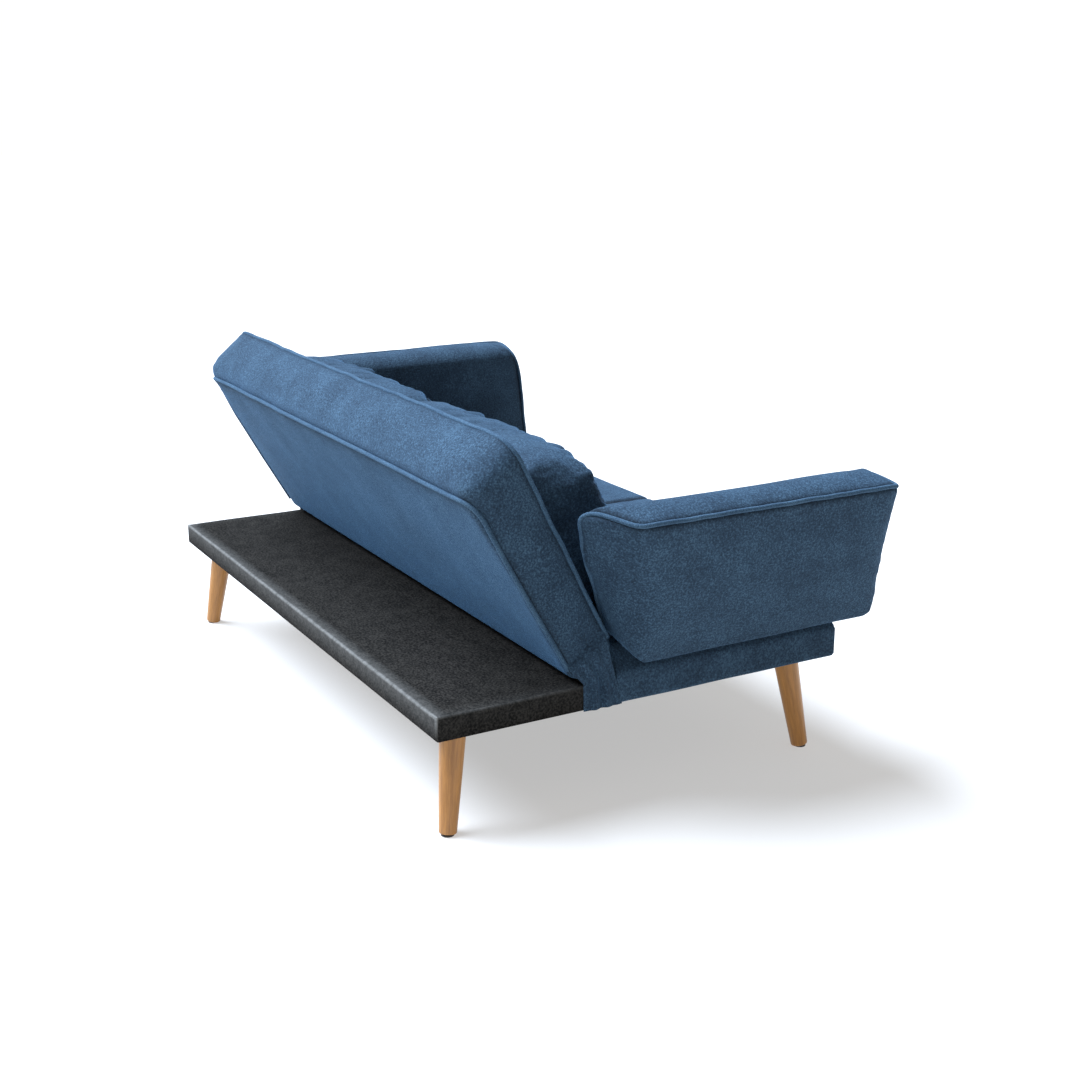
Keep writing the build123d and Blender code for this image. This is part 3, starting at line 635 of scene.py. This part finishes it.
def build_leg(name):
    """A turned, tapered leg: a cone with an eased foot, stood along its splayed axis."""
    low, high = (Vector(corner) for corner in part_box(name))
    outward_x = 1 if (low + high).x > 0 else -1
    outward_y = 1 if (low + high).y > 0 else -1
    foot = Vector((high.x if outward_x > 0 else low.x, high.y if outward_y > 0 else low.y, low.z))
    foot -= Vector((outward_x, outward_y, 0)) * LEG_FOOT_RADIUS * LEG_CORNER_REACH
    top = Vector((low.x if outward_x > 0 else high.x, low.y if outward_y > 0 else high.y, high.z))
    top += Vector((outward_x, outward_y, 0)) * LEG_TOP_RADIUS * LEG_CORNER_REACH
    axis = top - foot
    length = axis.length + LEG_OVERRUN
    bpy.ops.object.select_all(action="DESELECT")
    bpy.ops.mesh.primitive_cone_add(
        vertices=64, radius1=LEG_FOOT_RADIUS, radius2=LEG_TOP_RADIUS, depth=length, location=(0, 0, length / 2)
    )
    leg = bpy.context.object
    leg.name = f"{name}_turned"
    bpy.ops.object.transform_apply(location=True, rotation=True, scale=True)
    ring_cuts(leg, 2, LEG_RINGS)
    bevel_where(leg, lambda a, b: max(a.z, b.z) < 1e-5, LEG_FOOT_EASE, 3)
    grain = leg.data.attributes.new("leg_space", "FLOAT_VECTOR", "POINT")
    grain.data.foreach_set("vector", (points_of(leg) + foot.x + 3 * foot.y).ravel())
    place(leg, Matrix.Translation(foot) @ axis.to_track_quat("Z", "Y").to_matrix().to_4x4())
    cut(leg, (0, 0, high.z), (0, 0, 1))
    finish_piece(leg, beech, "base", 40)
    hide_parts(name)


for leg_name in ("leg_front_left", "leg_front_right", "leg_rear_left", "leg_rear_right"):
    build_leg(leg_name)


# ---------------------------------------------------------------- base covers
FELT_EDGE = 0.007
FELT_WAVE = 0.0012
FELT_SETTLE = 0.0004
SHELF_COLUMNS = 40
SHELF_ROWS = 10
SHELF_TUCK_Y = 0.125
SHELF_TUCK_INSET = 0.006
SHELF_TUCK_LAP = 0.004
SHELF_TUCK_THICK = 0.003
SHELF_TUCK_DROP = 0.0008


def build_shelf():
    """The felt-covered shelf behind the backrest, its felt running on under the backrest."""
    shelf = box_block("shelf_felt_cover", felt_low, felt_high)
    bevel_where(shelf, lambda a, b: min(a.y, b.y) > felt_high[1] - 1e-4, FELT_EDGE, 4)
    for axis, parts in enumerate((SHELF_COLUMNS, SHELF_ROWS)):
        span = felt_high[axis] - felt_low[axis]
        ring_cuts(shelf, axis, [felt_low[axis] + span * step / parts for step in range(1, parts)])
    for x_side in (felt_low[0], felt_high[0]):
        bevel_where(
            shelf,
            lambda a, b: max(abs(a.x - x_side), abs(b.x - x_side)) < 1e-4
            and min(a.z, b.z) > felt_high[2] - 1e-4,
            FELT_EDGE, 3,
        )
    points = points_of(shelf)
    lift = np.array([noise.noise(Vector(p) * 9.0) for p in points]) * FELT_WAVE
    top = points[:, 2] > felt_high[2] - 0.002
    points[top, 2] += lift[top] - FELT_SETTLE
    set_points(shelf, points)
    # Paler felt along the rear top edge and, less, the ends: partly worn, partly a painted highlight where light
    # catches the rounded edges.
    below_top = points[:, 2] - felt_high[2]
    from_rear = np.hypot(points[:, 1] - felt_high[1], below_top)
    from_end = np.hypot(felt_high[0] - np.abs(points[:, 0]), below_top)
    wear_and_highlight = shelf.data.attributes.new("wear_and_highlight", "FLOAT", "POINT")
    worn_and_highlit = np.clip(1.3 - from_rear / FELT_EDGE, 0, 1) + 0.35 * np.clip(1.2 - from_end / FELT_EDGE, 0, 1)
    wear_and_highlight.data.foreach_set("value", np.clip(worn_and_highlit, 0, 1).astype(np.float32))
    finish_piece(shelf, black_felt, "base", 60)
    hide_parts("shelf_felt")
    tuck = box_block(
        "shelf_felt_tuck",
        (band_low[0] + SHELF_TUCK_INSET, SHELF_TUCK_Y, felt_high[2] - SHELF_TUCK_THICK),
        (band_high[0] - SHELF_TUCK_INSET, felt_low[1] + SHELF_TUCK_LAP, felt_high[2] - SHELF_TUCK_DROP),
    )
    tuck.data.attributes.new("wear_and_highlight", "FLOAT", "POINT")
    finish_piece(tuck, black_felt, "base")


build_shelf()

BAND_COVER = 0.0025
BAND_CORNER = 0.022
BAND_EASE = 0.007
BAND_VOXEL = 0.0065
BAND_TOP_DROP = 0.002
PANEL_INSET = 0.028


def build_band():
    """The blue cloth over the seat part of the base, with the sloping shoulders under the arms."""
    shoulder_low, shoulder_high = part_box("side_shoulder_left")
    half = band_high[0] + BAND_COVER
    front, rear = band_low[1] - 2 * BAND_COVER, band_high[1]
    bottom, top = band_low[2] - 1.4 * BAND_COVER, shoulder_high[2] - BAND_TOP_DROP
    corner = arc((front + BAND_CORNER, bottom + BAND_CORNER), BAND_CORNER, 180, 270, 6)
    band = profile_block("seat_band_cover", half, corner + [(rear, bottom), (rear, top), (front, top)])
    for side in SIDES.values():
        edge = Vector((side * half, 0, band_high[2] - 2 * BAND_COVER))
        inner = Vector((side * shoulder_low[0], 0, shoulder_high[2]))
        run = inner - edge
        cut(band, edge, (side * run.z, 0, side * -run.x))
    bevel_where(
        band,
        lambda a, b: min(abs(a.x), abs(b.x)) > half - 1e-4 and min(a.y, b.y) < rear - 1e-4,
        BAND_EASE, 4,
    )
    apply_modifier(band, "REMESH", mode="VOXEL", voxel_size=BAND_VOXEL, use_smooth_shade=True)
    crumple(band, 0.16, 0.0014, seed=4)
    finish_piece(band, blue_velvet, "base", 60)
    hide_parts("seat_band", "side_shoulder_left", "side_shoulder_right")


def build_underside():
    """The black dust cloth stapled under the base."""
    dust_low, dust_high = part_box("dust_cover")
    inset = Vector((PANEL_INSET, PANEL_INSET, 0))
    panel = box_block(
        "dust_cloth_panel",
        Vector((dust_low[0], dust_low[1], band_low[2] - 2 * BAND_COVER)) + inset,
        Vector((dust_high[0], dust_high[1], dust_high[2])) - inset,
    )
    finish_piece(panel, dust_cloth, "base")
    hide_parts("dust_cover")


build_band()
build_underside()

FLAP_OUT = 0.0014
FLAP_LAP = 0.014
FLAP_TUCK = 0.010
FLAP_PLEATS = 3.2
FLAP_FOLD = 0.0042
FLAP_CLOTH = 0.0012
FLAP_ROWS, FLAP_COLUMNS = 26, 36
FLAP_BEND = 0.42
FLAP_REAR_LAP = 0.004
FLAP_FRONT_RISE = 0.03
FLAP_REAR_RISE = 0.012
FLAP_TUCK_FROM = 0.84
FLAP_DRIFT = 0.002


def build_flap(name):
    """The gathered cloth that closes the hinge gap, from the base up to the backrest's end."""
    side = SIDES[name]
    flap_low, flap_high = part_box(f"hinge_flap_{name}")
    up = Vector((math.sin(back_recline), math.cos(back_recline)))
    front = Vector((back_front.y, back_front.z))
    hinge = Vector((back_pivot.y, back_pivot.z))
    low_front = Vector((flap_low[1] - FLAP_LAP, band_low[2] - BAND_COVER))
    low_rear = Vector((felt_low[1] + 0.003, band_low[2] - BAND_COVER))
    high_front = hinge + front * (BACK_HEEL_FRONT - 0.004) + up * FLAP_FRONT_RISE
    high_rear = hinge - front * (BACK_REAR_Y - 0.001) + up * FLAP_REAR_RISE
    mid_rear = Vector((felt_low[1] + FLAP_REAR_LAP, felt_high[2] + FLAP_REAR_LAP))
    bpy.ops.object.select_all(action="DESELECT")
    bpy.ops.mesh.primitive_grid_add(x_subdivisions=FLAP_COLUMNS, y_subdivisions=FLAP_ROWS, size=1)
    flap = bpy.context.object
    flap.name = f"hinge_flap_cloth_{name}"
    points = points_of(flap)
    across, height = points[:, 0] + 0.5, points[:, 1] + 0.5
    for i, (t, h) in enumerate(zip(across, height)):
        front_edge = low_front.lerp(high_front, h)
        if h < FLAP_BEND:
            rear_edge = low_rear.lerp(mid_rear, h / FLAP_BEND)
        else:
            rear_edge = mid_rear.lerp(high_rear, (h - FLAP_BEND) / (1 - FLAP_BEND))
        y, z = front_edge.lerp(rear_edge, t)
        fold = math.sin(2 * math.pi * (FLAP_PLEATS * t + 0.25 * math.sin(3 * h)))
        fold *= math.sin(math.pi * min(1, 0.12 + h)) ** 0.7
        hem = min(1.0, 4 * min(t, 1 - t))
        drift = noise.noise(Vector((t * 3, h * 2, side))) * FLAP_DRIFT
        x = felt_high[0] + FLAP_OUT + (FLAP_FOLD * (fold + 0.6) + drift) * hem
        x -= FLAP_TUCK * max(0.0, (h - FLAP_TUCK_FROM) / (1 - FLAP_TUCK_FROM)) ** 1.5
        points[i] = (side * x, y, z)
    set_points(flap, points)
    apply_modifier(flap, "SOLIDIFY", thickness=FLAP_CLOTH, offset=0)
    finish_piece(flap, blue_velvet, None, 60)
    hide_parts(f"hinge_flap_{name}")
    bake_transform(flap)


# ---------------------------------------------------------------- seat
SEAT_SINK = 0.006
SEAT_EASE = (0.004, 0.003)
SEAT_CORNER = 0.026
SEAT_FOOT_CORNER = 0.014
SEAT_CHANNELS = (-0.5, 0.0, 0.5)
SEAT_REST = 0.02
SEAT_PUFF = {"voxel": 0.0105, "pressure": 3.0, "cap": 0.016}
SEAT_STITCH = {"depth": 0.006, "reach": 0.008, "pucker": 0.0025, "pitch": 0.035}


def build_seat():
    """The seat pad between the arms, with sewn channels from front to back."""
    low = Vector(seat_low) + Vector((*SEAT_EASE, 0))
    high = Vector(seat_high) - Vector((*SEAT_EASE, SEAT_SINK))
    corner_top = arc((low.y + SEAT_CORNER, high.z - SEAT_CORNER), SEAT_CORNER, 90, 180, 4)
    foot = low.z + SEAT_FOOT_CORNER
    corner_low = arc((low.y + SEAT_FOOT_CORNER, foot), SEAT_FOOT_CORNER, 180, 270, 3)
    profile = [(high.y, low.z), (high.y, high.z)] + corner_top + corner_low
    seat = profile_block("seat_pad", high.x, profile)
    channels = []
    for share in SEAT_CHANNELS:
        x = share * high.x
        route = [(x, high.y, high.z), (x, low.y + SEAT_CORNER, high.z)]
        route += [(x, *p) for p in corner_top[1:]] + [(x, low.y, foot)]
        channels.append((route, False))
    rim = []
    for side in SIDES.values():
        rim.append(([(side * high.x, high.y, high.z)] + [(side * high.x, *p) for p in corner_top], False))
    puff(
        seat,
        seams=channels + rim,
        resting=lambda p: np.where(p[:, 2] < low.z + SEAT_REST, 1.0, 0.0),
        **SEAT_PUFF,
    )
    sew(seat, channels, seed=2, **SEAT_STITCH)
    crumple(seat, 0.16, 0.003, seed=9)
    finish_piece(seat, blue_velvet, "base")
    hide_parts("seat_cover", "seat_foam")


build_seat()


# ---------------------------------------------------------------- backrest
# Its own upright space: y to the rear and z up the backrest, both from the hinge line.
BACK_REAR_Y = 0.064
BACK_REAR_TOP = (0.062, 0.438)
BACK_BULGE = (0.056, 0.466)
BACK_CROWN = (0.026, 0.480)
BACK_FRONT_TOP = (-0.079, 0.499)
BACK_HEEL_FRONT = 0.052
BACK_HEEL_CUT = -0.048
BACK_CORNER = 0.058
BACK_END_COVER = 0.011
BACK_PANEL_Y = 0.052
BACK_PANEL_HOLD = 0.9
BACK_LOW_END = 0.16
BACK_PUFF = {"voxel": 0.0105, "pressure": 3.2, "cap": 0.015}
BACK_FRONT_STITCH = {"depth": 0.006, "reach": 0.008, "pucker": 0.0022, "pitch": 0.045}
BACK_REAR_STITCH = {"depth": 0.0015, "reach": 0.008, "pucker": 0.0006, "pitch": 0.045}


def back_route(y_low, y_top, z_top, radius, half):
    """The piping's way up one side of the backrest, across the top and down the other side."""
    corners = [(-half, y_low, 0.0), (-half, y_top, z_top), (half, y_top, z_top), (half, y_low, 0.0)]
    return [back_place @ point for point in rounded_route(corners, radius, steps=9)]


def build_backrest():
    """One full-width pad with a flat rear panel, a crowned top and a heel round the hinge."""
    heel_rear = arc((0, 0), BACK_REAR_Y, -48.6, 0, 4)
    heel_front = arc((0, 0), BACK_HEEL_FRONT, 180, 247, 5)
    profile = heel_rear + [BACK_REAR_TOP, BACK_BULGE, BACK_CROWN, BACK_FRONT_TOP] + heel_front
    half = back_half_width + BACK_END_COVER
    back = profile_block("backrest_pad", half, profile)
    bevel_where(
        back,
        lambda a, b: abs(abs(a.x) - half) < 1e-4 and abs(a.x - b.x) < 1e-5
        and min(a.z, b.z) > BACK_REAR_TOP[1] - 0.004 and abs(a.y - b.y) > 0.004,
        BACK_CORNER, 8,
    )
    place(back, back_place)
    front = back_route(-BACK_HEEL_FRONT, BACK_FRONT_TOP[0], BACK_FRONT_TOP[1], BACK_CORNER, half)
    rear = back_route(BACK_REAR_Y, BACK_REAR_TOP[0], BACK_REAR_TOP[1], BACK_CORNER, half)
    seams = [(front, False), (rear, False)]
    into_back = back_place.inverted()

    def resting(points):
        """Hold the heel and the rear panel, and each end as far up as the hinge reaches."""
        local = moved(points, into_back)
        rear_panel = (local[:, 1] > BACK_PANEL_Y) & (local[:, 2] < BACK_REAR_TOP[1] - 0.01)
        heel = local[:, 2] < 0.02
        end = np.abs(local[:, 0]) > half - 0.004
        low_end = np.clip(1.3 - local[:, 2] / BACK_LOW_END, 0, 1) * end
        return np.maximum(np.where(heel, 1.0, np.where(rear_panel, BACK_PANEL_HOLD, 0.0)), low_end)

    puff(back, seams=seams, resting=resting, **BACK_PUFF)
    sew(back, seams[:1], seed=5, **BACK_FRONT_STITCH)
    sew(back, seams[1:], seed=6, **BACK_REAR_STITCH)
    crumple(back, 0.2, 0.0035, seed=3, where=lambda p: np.clip((p[:, 2] - 0.40) / 0.1, 0, 1))
    finish_piece(back, blue_velvet, "backrest")
    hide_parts("back_cover", "back_foam", "back_piping")
    for label, route in (("front", front), ("rear", rear)):
        piping(f"backrest_{label}_piping", lay_on(route, back, PIPING_PROUD), False, highlit_blue_piping, "backrest")


build_backrest()
for flap_name in SIDES:
    build_flap(flap_name)


# ---------------------------------------------------------------- arms
ARM_THICK = 0.117
ARM_HEIGHT = 0.353
ARM_BOTTOM_Y = (-0.540, 0.096)
ARM_TOP_Y = (-0.504, 0.158)
ARM_REAR_SLANT = (0.012, 0.130, 0.088)
ARM_FOOT_CORNER = 0.030
ARM_FOOT_EASE = 0.009
ARM_ROLL = 0.044
ARM_OUTER_CORNER = 0.018
ARM_INNER_ROUND = 0.072
ARM_OUTER_ROUND = 0.014
ARM_SEAT_SIDE_HOLD = 0.6
ARM_FOOT_HOLD = 0.02
ARM_PUFF = {"voxel": 0.0085, "pressure": 3.0, "cap": 0.012}
ARM_STITCH = {"depth": 0.0055, "reach": 0.009, "pucker": 0.0014, "pitch": 0.06}


def build_arm(name):
    """A box arm: a top and inner panel edged with piping, and a cover round its outside and ends."""
    side = SIDES[name]
    joint = joints[f"arm_{name}_tilt"]
    tilt = math.radians(-joint["range_deg"][0])
    stand = Matrix.Translation(Vector(joint["pos_m"])) @ Matrix.Rotation(side * tilt, 4, "Y")
    into_arm = stand.inverted()
    r = ARM_FOOT_CORNER
    foot_front = arc((ARM_BOTTOM_Y[0] + r * 1.15, r), r, 188, 270, 5)
    foot_rear = arc((ARM_BOTTOM_Y[1] - r * 0.86, r), r, 270, 350, 5)
    profile = foot_front + foot_rear + [(ARM_TOP_Y[1], ARM_HEIGHT), (ARM_TOP_Y[0], ARM_HEIGHT)]
    arm = profile_block(f"arm_pad_{name}", ARM_THICK / 2, profile, side * ARM_THICK / 2)

    def outer(p):
        """On the arm's outer panel."""
        return abs(abs(p.x) - ARM_THICK) < 1e-4

    def inner_top(p):
        """On the top edge at the seat side."""
        return abs(p.x) < 1e-4 and p.z > ARM_HEIGHT - 1e-4

    bevel_where(arm, lambda a, b: inner_top(a) and inner_top(b), ARM_ROLL, 6)
    bevel_where(arm, lambda a, b: outer(a) and outer(b) and abs(a.z - b.z) > 0.1, ARM_OUTER_CORNER, 4)
    bevel_where(arm, lambda a, b: outer(a) and outer(b) and max(a.z, b.z) < 1e-4, ARM_FOOT_EASE, 3)
    place(arm, stand)

    def shaped(points):
        """Round the top's two ends, more on the seat side, and carry the rear end back there."""
        local = moved(points, into_arm)
        inward = np.clip(1 - np.abs(local[:, 0]) / ARM_THICK, 0, 1)
        radius = ARM_OUTER_ROUND + (ARM_INNER_ROUND - ARM_OUTER_ROUND) * inward**1.5
        for end, edge in ((-1, ARM_TOP_Y[0]), (1, ARM_TOP_Y[1])):
            past = end * (local[:, 1] - edge) + radius
            rise = local[:, 2] - ARM_HEIGHT + radius
            reach = np.hypot(past, rise)
            pull = np.where((past > 0) & (rise > 0) & (reach > radius), radius / np.maximum(reach, 1e-6), 1)
            local[:, 1] += end * past * (pull - 1)
            local[:, 2] += rise * (pull - 1)
        toward_rear = np.clip(local[:, 1] / ARM_TOP_Y[1], 0, 1)
        foot_slant, growth, top_slant = ARM_REAR_SLANT
        slant = np.clip(foot_slant + growth * local[:, 2] / ARM_HEIGHT, 0, top_slant)
        local[:, 1] += slant * inward * toward_rear
        return moved(local, stand)

    corners = []
    for which in (1, 0):
        lean = ARM_TOP_Y[which] - ARM_BOTTOM_Y[which]
        rise = [(0, ARM_BOTTOM_Y[which] + lean * share, ARM_HEIGHT * share) for share in (0.08, 0.85, 1.0)]
        rise.append((side * ARM_THICK, ARM_TOP_Y[which], ARM_HEIGHT))
        corners += rise if which else rise[::-1]
    turns = [0, 0, ARM_ROLL, ARM_OUTER_CORNER, ARM_OUTER_CORNER, ARM_ROLL, 0, 0]
    route = np.array([stand @ p for p in rounded_route(corners, turns, steps=7)])
    route = [Vector(p) for p in shaped(route)]
    seams = [(route, False)]

    def resting(points):
        """Hold the foot, and the seat side in part."""
        local = moved(points, into_arm)
        seat_side = np.where(np.abs(local[:, 0]) < 0.004, ARM_SEAT_SIDE_HOLD, 0.0)
        return np.maximum(seat_side, np.clip(1.4 - local[:, 2] / ARM_FOOT_HOLD, 0, 1))

    puff(arm, seams=seams, resting=resting, shape=shaped, **ARM_PUFF)
    sew(arm, seams, seed=11 + side, **ARM_STITCH)
    crumple(arm, 0.2, 0.0024, seed=6 + side)
    finish_piece(arm, blue_velvet, f"arm_{name}")
    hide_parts(f"arm_cover_{name}", f"arm_foam_{name}", f"arm_piping_{name}")
    piping(f"arm_piping_cord_{name}", lay_on(route, arm, PIPING_PROUD), False, highlit_blue_piping, f"arm_{name}")


for arm_name in SIDES:
    build_arm(arm_name)


# ---------------------------------------------------------------- loose back cushions
CUSHION_PROFILE = [(0.144, 0.427), (0.302, 0.757), (0.120, 0.744), (-0.014, 0.427)]
CUSHION_CROWN = 0.026
CUSHION_CORNER = 0.017
CUSHION_SEAM_INSET = 0.008
CUSHION_TURN = 0.035
CUSHION_DRAW = 0.975
CUSHION_GAP = 0.006
CUSHION_SPREAD = 0.002
CUSHION_END = 0.724
CUSHION_LIFT = 0.002
CUSHION_FOOT_HOLD = 0.012
CUSHION_PUFF = {"voxel": 0.0075, "pressure": 3.6, "cap": 0.02, "shrink": -0.03}
CUSHION_STITCH = {"depth": 0.008, "reach": 0.013, "pucker": 0.0105, "pitch": 0.026}


def build_cushion(name):
    """A boxed cushion, full in the middle, its gusset puckered along both seams."""
    side = SIDES[name]
    low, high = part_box(f"cushion_cover_{name}")
    low_x = low[0] + CUSHION_GAP - (CUSHION_SPREAD if side < 0 else 0)
    high_x = high[0] - CUSHION_GAP + (CUSHION_SPREAD if side > 0 else 0)
    middle, half = (low_x + high_x) / 2, (high_x - low_x) / 2
    cushion = profile_block(f"back_cushion_{name}", half, CUSHION_PROFILE, middle)
    bevel_where(cushion, lambda a, b: True, CUSHION_CORNER, 3)
    rear_low, rear_high, front_high, front_low = CUSHION_PROFILE
    seams = []
    for lower, upper in ((rear_low, rear_high), (front_low, front_high)):
        near, far = low_x + CUSHION_SEAM_INSET, high_x - CUSHION_SEAM_INSET
        corners = [(near, *lower), (near, *upper), (far, *upper), (far, *lower)]
        centre = Vector((middle, *(Vector(lower) + Vector(upper)) / 2))
        turned = rounded_route(corners, CUSHION_TURN, True)
        seams.append(([centre + (point - centre) * CUSHION_DRAW for point in turned], True))

    def crowned(points):
        """Draw the cushion's top down and in toward its two ends."""
        points = points.copy()
        outward = np.abs(points[:, 0] - middle) / half
        height = np.clip((points[:, 2] - rear_low[1]) / (rear_high[1] - rear_low[1]), 0, 1)
        points[:, 2] -= CUSHION_CROWN * outward**5 * height
        return points

    seams = [([Vector(p) for p in crowned(np.array(route))], closed) for route, closed in seams]
    puff(
        cushion,
        seams=seams,
        resting=lambda p: np.clip(1.3 - (p[:, 2] - rear_low[1]) / CUSHION_FOOT_HOLD, 0, 1),
        shape=crowned,
        **CUSHION_PUFF,
    )
    sew(cushion, seams, seed=20 + side, **CUSHION_STITCH)
    crumple(cushion, 0.09, 0.005, seed=14 + side)
    points = points_of(cushion)
    points[:, 2] = np.maximum(points[:, 2], seat_high[2] + CUSHION_LIFT)
    points[:, 0] = side * np.clip(side * points[:, 0], 0.001, CUSHION_END)
    set_points(cushion, points)
    finish_piece(cushion, blue_velvet, f"cushion_{name}")
    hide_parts(f"cushion_cover_{name}", f"cushion_fill_{name}")


for cushion_name in SIDES:
    build_cushion(cushion_name)


# ---------------------------------------------------------------- studio
CAMERA_PLACE = (-3.374, 1.756, 1.490)
CAMERA_YAW = 60.43
CAMERA_PITCH = 16.48
CAMERA_LENS = 52.03
SENSOR_WIDTH = 36
SUN_FROM = (0.44, 0.36, 0.82)
SUN_STRENGTH = 9.4
SUN_SPREAD = 50
SUN_COLOUR = (0.88, 1.0, 1.17)
AIR_COLOUR = (1, 0.965, 0.92, 1)
AIR_LIGHT = 0.29
AIR_SEEN = 0.8
FLOOR_SIZE = 60
FLOOR_TONES = [(0.0, (0.44, 0.43, 0.42)), (1.0, (0.47, 0.455, 0.435))]
FLOOR_FINISH = {
    "Roughness": 0.95,
    "Specular IOR Level": 0.1,
    "Emission Color": (1, 1, 1, 1),
    "Emission Strength": 0.47,
}


def build_studio():
    """White floor and air, a broad sun from the far left above, and the camera."""
    scene = bpy.context.scene
    scene.view_settings.view_transform = "Standard"
    bpy.ops.object.select_all(action="DESELECT")
    bpy.ops.mesh.primitive_plane_add(size=FLOOR_SIZE, location=(0, 0, 0))
    floor = bpy.context.object
    floor.name = "studio_floor"
    material, nodes, links, shader, where = start_material("studio_white")
    tone = noise_node(nodes, links, where.outputs["Object"], 0.4)
    links.new(ramp_node(nodes, links, tone, FLOOR_TONES), shader.inputs["Base Color"])
    set_finish(shader, FLOOR_FINISH)
    floor.data.materials.append(material)
    world = bpy.data.worlds.new("studio")
    scene.world = world
    world.use_nodes = True
    nodes, links = world.node_tree.nodes, world.node_tree.links
    seen = nodes.new("ShaderNodeLightPath")
    background = nodes["Background"]
    background.inputs["Color"].default_value = AIR_COLOUR
    extra = math_node(nodes, links, "MULTIPLY", seen.outputs["Is Camera Ray"], AIR_SEEN)
    links.new(math_node(nodes, links, "ADD", extra, AIR_LIGHT), background.inputs["Strength"])
    sun = bpy.data.lights.new("key_sun", "SUN")
    sun.energy = SUN_STRENGTH
    sun.angle = math.radians(SUN_SPREAD)
    sun.color = SUN_COLOUR
    lamp = bpy.data.objects.new("key_sun", sun)
    scene.collection.objects.link(lamp)
    lamp.rotation_euler = (-Vector(SUN_FROM)).to_track_quat("-Z", "Y").to_euler()
    camera = bpy.data.objects.new("camera", bpy.data.cameras.new("camera"))
    scene.collection.objects.link(camera)
    camera.location = CAMERA_PLACE
    yaw, pitch = math.radians(CAMERA_YAW), math.radians(CAMERA_PITCH)
    forward = Vector((math.sin(yaw) * math.cos(pitch), -math.cos(yaw) * math.cos(pitch), -math.sin(pitch)))
    camera.rotation_euler = forward.to_track_quat("-Z", "Y").to_euler()
    camera.data.lens = CAMERA_LENS
    camera.data.sensor_width = SENSOR_WIDTH
    scene.camera = camera


build_studio()
